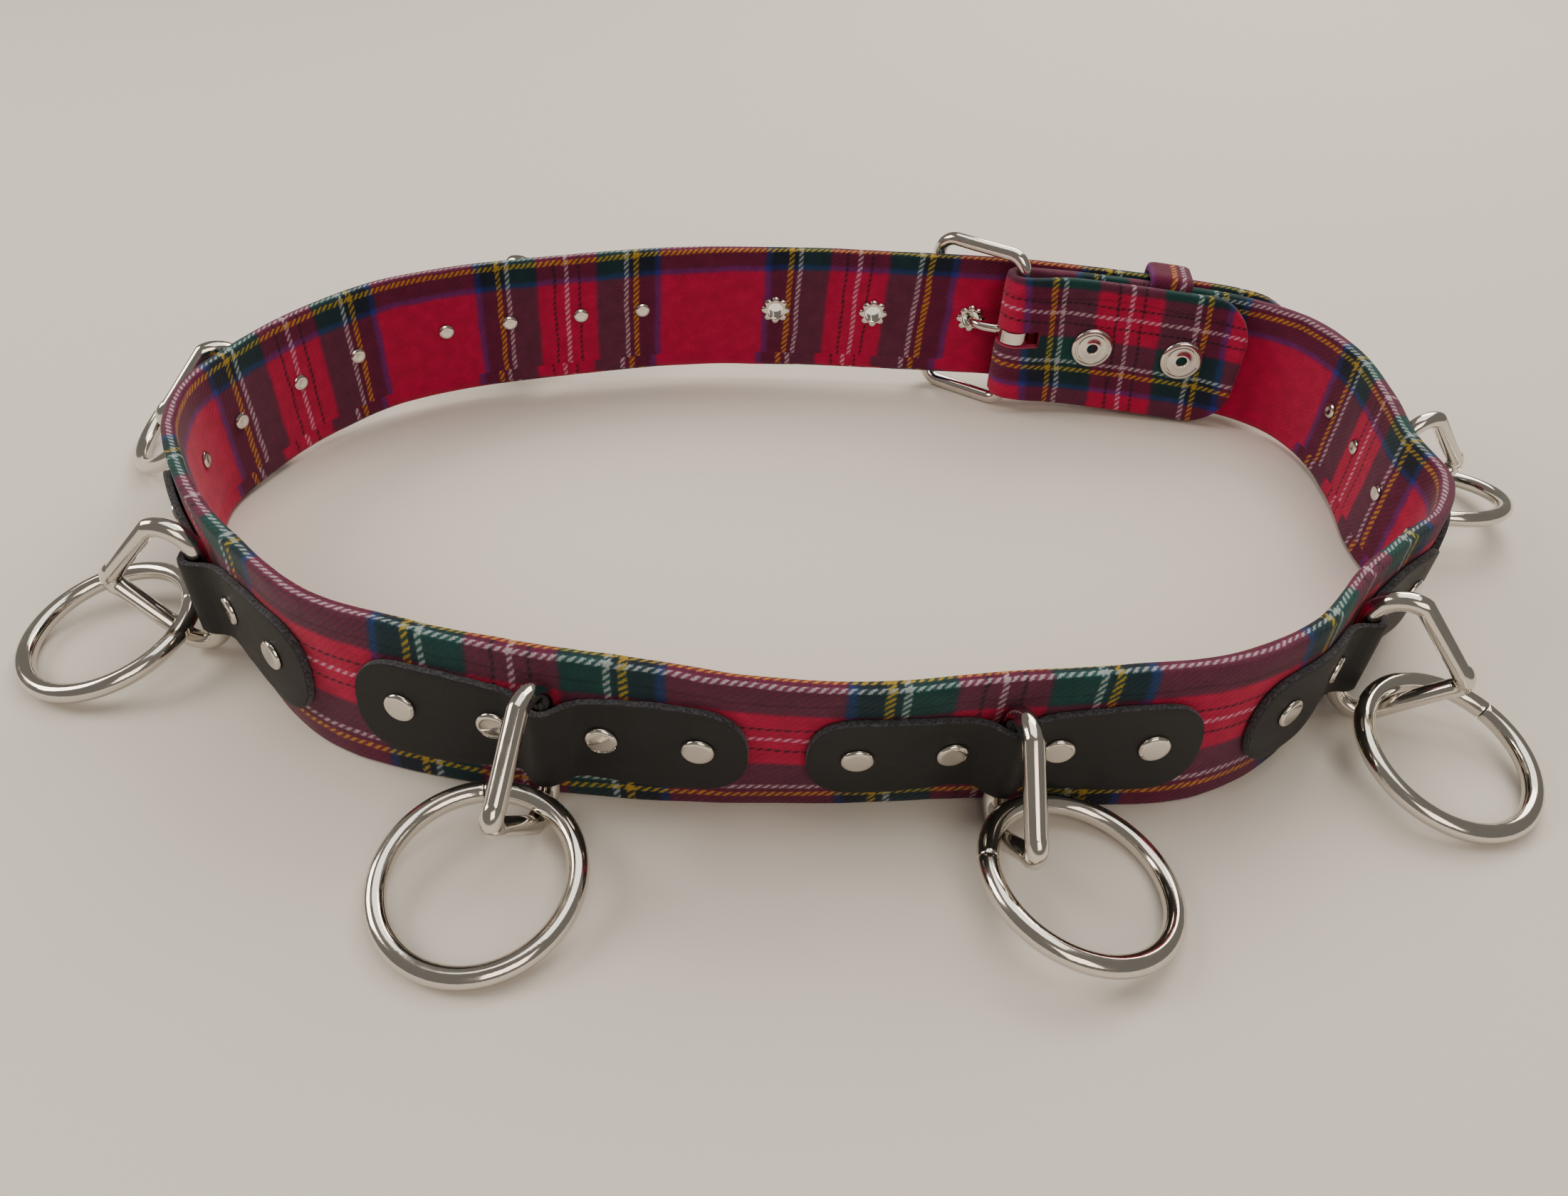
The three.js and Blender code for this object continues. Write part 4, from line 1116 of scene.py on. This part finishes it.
@dataclass
class Buckle:
    """Wire frame and single prong, set on the folded end of the strap."""

    middle_height: float = BUCKLE_LIFT + STRAP_HEIGHT / 2
    half_height: float = 27.4
    wire_radius: float = 2.3
    corner_radius: float = 6.0
    prong_radius: float = 1.6
    roll_inner: float = 2.45
    roll_outer: float = 5.4
    roll_height: float = 5.2
    roll_rounding: float = 0.5
    prong_sides: int = 16
    prong_run: tuple[tuple[float, float], ...] = (
        (72.2, 360.3), (68.3, 361), (64.6, 362.4), (62.2, 365.6), (61.7, 369.5),
        (60.8, 373.6), (57.8, 376.9), (53, 378.4), (46, 378.7),
    )
    steps_between: int = 5
    bend_steps: int = 10
    taper_steps: int = 3
    tip_share: float = 0.1

    def frame_mesh(self) -> bmesh.types.BMesh:
        """Oblong of wire with four round corners."""
        reach = (END_BAR - HINGE).length / 2
        across, up = reach - self.corner_radius, self.half_height - self.corner_radius
        wire = BentWire(Vector((reach, -up, 0)), Vector((0, 1, 0)), self.wire_radius)
        corners = ((across, up), (-across, up), (-across, -up), (across, -up))
        sides = ((0, 2 * up), (-2 * across, 0), (0, -2 * up), (2 * across, 0))
        for corner, side in zip(corners, sides):
            wire.straight(Vector((*side, 0)))
            wire.bend(Vector((*corner, 0)), math.pi / 2, self.bend_steps)
        return wire.finished()

    def frame_place(self) -> Matrix:
        """Where the frame is: from the hinge bar to the end bar."""
        across = Vector((*(END_BAR - HINGE), 0)).normalized()
        up = Vector((0, 0, 1))
        middle = Vector((*(END_BAR + HINGE) / 2, self.middle_height))
        return placed(across, up, across.cross(up), middle)

    def prong_point(self, place: float) -> Vector:
        """Point of the prong's run, smooth through its rows, at a place counted in rows."""
        rows = [Vector(row) - PLAN_CENTRE for row in self.prong_run]
        at = min(int(place), len(rows) - 2)
        t = place - at
        before, after = rows[max(at - 1, 0)], rows[min(at + 2, len(rows) - 1)]
        start, end = rows[at], rows[at + 1]
        flat = 0.5 * ((2 * start) + (end - before) * t + (2 * before - 5 * start + 4 * end - after) * t ** 2
                      + (3 * start - before - 3 * end + after) * t ** 3)
        return Vector((*flat, self.middle_height))

    def prong_mesh(self) -> bmesh.types.BMesh:
        """Roll round the hinge bar and a tongue that narrows to a round end."""
        count = (len(self.prong_run) - 1) * self.steps_between
        spots = [self.prong_point(step / self.steps_between) for step in range(count + 1)]
        wire = BentWire(spots[0], spots[1] - spots[0], self.prong_radius, self.prong_sides)
        size = 1.0
        for number, (here, there) in enumerate(zip(spots, spots[1:]), start=1):
            after = spots[min(number + 1, count)]
            turn = (there - here).rotation_difference(after - there if after != there else there - here)
            left = min((count - number) / self.taper_steps, 1.0)
            wanted = math.sqrt(1 - (1 - left) ** 2) * (1 - self.tip_share) + self.tip_share
            change = turn.to_matrix().to_4x4() @ Matrix.Scale(wanted / size, 4)
            size = wanted
            wire.moved(Matrix.Translation(there) @ change @ Matrix.Translation(-here))
        closed(wire.mesh)
        half, soft = self.roll_height / 2, self.roll_rounding
        roll = turned([
            (self.roll_inner, -half), (self.roll_outer - soft, -half), (self.roll_outer, soft - half),
            (self.roll_outer, half - soft), (self.roll_outer - soft, half), (self.roll_inner, half),
            (self.roll_inner, -half),
        ])
        together = to_data("prong_roll", roll, Matrix.Translation((*HINGE, self.middle_height)))
        wire.mesh.from_mesh(together)
        bpy.data.meshes.remove(together)
        return closed(wire.mesh)

    def make(self) -> None:
        """Makes the frame and the prong."""
        Piece("wire_frame", self.frame_mesh(), "buckle_frame").make(self.frame_place())
        Piece("rolled_prong", self.prong_mesh(), "buckle_prong").make()


@dataclass
class Keeper:
    """Cloth-covered loop that holds the free end against the strap."""

    station: float = 49.6
    width: float = 14.5
    inner_run: float = 1.2
    outer_run: float = 2.2
    edge_run: float = 3.0
    room: float = 1.4
    gap: float = 0.45
    corner: float = 2.6
    width_power: float = 0.35
    depth_power: float = 0.6
    cells_round: int = 96
    cells_across: int = 24
    cloth_start: tuple[float, float] = (182.0, -13.0)

    def __post_init__(self) -> None:
        """Works out the loop's middle line and its place square to the strap."""
        self.outer = -(FREE_END_OFFSET + STRAP_THICKNESS / 2 + self.room) - self.outer_run / 2
        self.inner = STRAP_THICKNESS / 2 + self.gap + self.inner_run / 2
        self.top = STRAP_HEIGHT / 2 + self.gap + self.edge_run / 2
        _, self.out, _ = RUN.frame(self.station)
        start, self.origin, end = (RUN.at(self.station + side * self.width / 2).point(0, STRAP_HEIGHT / 2)
                                   for side in (-1, 0, 1))
        slope = end - start
        self.travel = (slope - self.out * slope.dot(self.out)).normalized()
        self.up = self.travel.cross(self.out)

    def loop(self, share: float) -> tuple[Vector, Vector, float]:
        """Point, outward way and distance on the loop's middle line."""
        wide = self.inner - self.outer - 2 * self.corner
        tall = 2 * self.top - 2 * self.corner
        arc = math.pi / 2 * self.corner
        left = share * (2 * wide + 2 * tall + 4 * arc)
        distance = left
        centre = Vector((self.inner - self.corner, -self.top + self.corner))
        facing = 0.0
        for side in (tall, wide, tall, wide):
            out = Vector((math.cos(facing), math.sin(facing)))
            on = Vector((-out.y, out.x))
            if left <= side:
                return centre + out * self.corner + on * left, out, distance
            left -= side
            centre = centre + on * side
            if left <= arc:
                turn = facing + left / self.corner
                out = Vector((math.cos(turn), math.sin(turn)))
                return centre + out * self.corner, out, distance
            left -= arc
            facing += math.pi / 2
        return centre + Vector((1, 0)) * self.corner, Vector((1, 0)), distance

    def across(self, row: int) -> float:
        """Distance along the strap from the loop's middle for a row of its grid."""
        side = math.cos(math.tau * row / self.cells_across)
        return math.copysign(abs(side) ** self.width_power, side) * self.width / 2

    def place(self, column: int, row: int) -> Vector:
        """Point of the loop's surface for a column and a row of its grid."""
        middle, out, _ = self.loop((column % self.cells_round) / self.cells_round)
        run = self.inner_run if out.x > 0 else self.outer_run
        thickness = abs(out.x) * run + abs(out.y) * self.edge_run
        side = math.sin(math.tau * row / self.cells_across)
        depth = math.copysign(abs(side) ** self.depth_power, side) * thickness / 2
        spot = middle + out * depth
        return self.origin - self.out * spot.x + self.up * spot.y + self.travel * self.across(row)

    def cloth(self, column: int, row: int, _: int) -> tuple[float, float]:
        """Place in the tartan: the loop's length runs along the weft."""
        distance = self.loop(min(column / self.cells_round, 0.99999))[2]
        return self.cloth_start[0] - self.width / 2 - self.across(row), self.cloth_start[1] + distance

    def surface(self, column: int, row: int) -> tuple[float, float]:
        """Far from the strap's crease, so the loop gets none of its painted shade."""
        return 0.0, 0.0

    def make(self) -> None:
        """Makes the loop."""
        mesh = cloth_tube(self.cells_round, self.cells_across, self.place, self.cloth, self.surface)
        Piece("covered_keeper", mesh, "keeper", Slot.TARTAN, sharp_above=70).make()


@dataclass
class FlapRivets:
    """Hollow rivets that close the fold, each with a wide grooved flange inside."""

    stations: tuple[float, ...] = (28, 60)
    rise: float = -1.1
    flange: float = 7.25
    shank: float = 2.5
    hollow: float = 1.6
    cap: float = 3.3
    flange_height: float = 1.1
    cap_height: float = 0.5
    inner_face: float = -FLAP_END_OFFSET - FLAP_THICKNESS / 2 - 0.25
    outer_face: float = STRAP_THICKNESS / 2 + 0.2
    steps_round: int = 56

    LIP_STEPS = ((0, 0.6), (0.35, 1.05), (0.9, 1.12), (1.3, 0.95))
    FLANGE_STEPS = ((0.68, 0.9), (0.73, 0.55), (0.78, 0.55), (0.83, 0.92), (0.92, 0.85), (0.98, 0.5),
                    (1, 0.15))

    def profile(self) -> list[tuple[float, float]]:
        """Radius and height round the section of the rivet."""
        face, tall, wide = self.inner_face, self.flange_height, self.flange
        back = self.outer_face
        return [
            *((self.hollow + out, face - share * tall) for out, share in self.LIP_STEPS),
            *((wide * out, face - share * tall) for out, share in self.FLANGE_STEPS),
            (wide - 0.1, face), (self.shank, face), (self.shank, back), (self.cap, back),
            (self.cap, back + 0.6 * self.cap_height), (self.cap - 0.5, back + self.cap_height),
            (self.hollow + 0.2, back + self.cap_height), (self.hollow, back + 0.6 * self.cap_height),
            (self.hollow, face - 0.6 * tall),
        ]

    def make(self) -> None:
        """Makes the rivets and sets them through the flap and the strap."""
        for number, distance in enumerate(self.stations, start=1):
            piece = Piece(f"flanged_rivet_{number}", turned(self.profile(), self.steps_round),
                          f"flap_rivet_{number}")
            piece.make(RUN.through(distance, self.rise))


@dataclass
class Eyelets:
    """Metal eyelets of the free end: a rolled ring outside, eight bent petals inside."""

    hole: float = 2.85
    spool: float = 3.3
    flange: float = 4.7
    face: float = STRAP_THICKNESS / 2 + 0.1
    outer_height: float = 0.75
    inner_height: float = 0.55
    petals: int = 8
    petal_power: float = 0.7
    petal_reach: float = 1.0125
    nipped_reach: float = 0.25
    steps_round: int = 64

    def profile(self) -> list[tuple[float, float]]:
        """Radius and height round the section of the eyelet."""
        face, outer, inner = self.face, self.outer_height, self.inner_height
        return [
            (self.hole, -face - 0.6 * inner), (self.hole + 0.3, -face - inner),
            (self.spool + 0.5, -face - inner), (self.flange - 0.2, -face - 0.5 * inner),
            (self.flange, -face - 0.05), (self.spool, -face),
            (self.spool, face), (self.flange, face), (self.flange, face + 0.3 * outer),
            (self.flange - 0.35, face + 0.8 * outer), (self.flange - 0.9, face + outer),
            (self.hole + 0.4, face + 0.85 * outer), (self.hole, face + 0.3 * outer),
            (self.hole, -face - 0.6 * inner),
        ]

    def make(self) -> None:
        """Makes the eyelets; the inner flange is drawn out and nipped in to petals."""
        for number, distance in enumerate(EYELET_STATIONS, start=1):
            mesh = turned(self.profile(), self.steps_round)
            for point in mesh.verts:
                radius = point.co.xy.length
                if point.co.z > -self.face or radius <= self.spool:
                    continue
                turn = math.atan2(point.co.y, point.co.x)
                petal = abs(math.cos(turn * self.petals / 2)) ** self.petal_power
                reach = (radius - self.spool) * (self.nipped_reach + self.petal_reach * petal)
                point.co.xy = point.co.xy * ((self.spool + reach) / radius)
            Piece(f"petalled_eyelet_{number}", mesh, f"eyelet_{number}").make(RUN.through(distance))


@dataclass
class Studio:
    """Pale floor, soft lights and the camera at the photograph's angle."""

    image_width: int = 2202
    focal_pixels: float = 1540.0
    sensor: float = 36.0
    pitch: float = 40.7
    roll: float = 3.05
    height: float = 208.3
    floor_size: float = 6.0
    world_colour: str = "#f3ebe0"
    world_strength: float = 0.24

    LAMPS = (
        ("window_light", (0.55, 1.15, 1.05), 0.9, 18.0, "#fff1de"),
        ("side_light", (-1.3, 0.1, 0.9), 0.7, 13.0, "#fff2e4"),
        ("ceiling_light", (0.15, 0.35, 1.5), 1.3, 12.5, "#fff7ec"),
        ("front_light", (0.4, -1.4, 1.1), 1.0, 12.0, "#ffecd6"),
    )

    def camera(self) -> None:
        """Puts the camera where the view was taken from."""
        data = bpy.data.cameras.new("camera")
        data.sensor_fit = "HORIZONTAL"
        data.sensor_width = self.sensor
        data.lens = self.focal_pixels / self.image_width * self.sensor
        data.clip_start = 0.01
        camera = added("camera", data)
        pitch, roll = math.radians(self.pitch), math.radians(self.roll)
        right = Vector((math.cos(roll), math.sin(roll) * math.sin(pitch), math.sin(roll) * math.cos(pitch)))
        forward = Vector((0, math.cos(pitch), -math.sin(pitch)))
        place = Vector((-PLAN_CENTRE.x, -PLAN_CENTRE.y, self.height)) * MM
        camera.matrix_world = placed(right, right.cross(forward), -forward, place)
        bpy.context.scene.camera = camera

    def lamp(self, name: str, place: tuple[float, float, float], size: float, power: float,
             colour: str) -> None:
        """Adds a square soft light that faces the belt.

        Args:
            name: Name of the light.
            place: Where it stands, in metres.
            size: Length of its side in metres.
            power: Power in watts.
            colour: sRGB hex value of its light.
        """
        data = bpy.data.lights.new(name, "AREA")
        data.size = size
        data.energy = power
        data.color = linear(colour)[:3]
        lamp = added(name, data)
        turn = (-Vector(place)).to_track_quat("-Z", "Y").to_matrix().to_4x4()
        lamp.matrix_world = Matrix.Translation(Vector(place)) @ turn

    def floor(self) -> None:
        """Lays the floor under the belt."""
        mesh = bmesh.new()
        bmesh.ops.create_grid(mesh, x_segments=1, y_segments=1, size=self.floor_size / 2)
        data = to_data("floor", mesh)
        data.materials.append(StudioFloor().material())
        floor = added("floor", data)

    def surroundings(self) -> None:
        """Fills the room with a dim even light."""
        world = bpy.data.worlds.new("studio")
        world.use_nodes = True
        world.node_tree.nodes.clear()
        shader = add_node(world.node_tree, "Background", {
            "Color": linear(self.world_colour), "Strength": self.world_strength,
        })
        add_node(world.node_tree, "OutputWorld", {"Surface": shader})
        bpy.context.scene.world = world

    def make(self) -> None:
        """Sets up the studio."""
        self.camera()
        self.surroundings()
        self.floor()
        for lamp in self.LAMPS:
            self.lamp(*lamp)


def main() -> None:
    """Builds the belt's pieces in order, then the studio."""
    logging.basicConfig(level=logging.INFO, format="%(name)s: %(message)s")
    Strap().make()
    for number, row in enumerate(TAB_ROWS, start=1):
        LeatherTab(number, row).make()
        Rivets(number, row).make()
        Rings(number, row).make()
    Buckle().make()
    Keeper().make()
    FlapRivets().make()
    Eyelets().make()
    Studio().make()


if __name__ == "__main__":
    main()
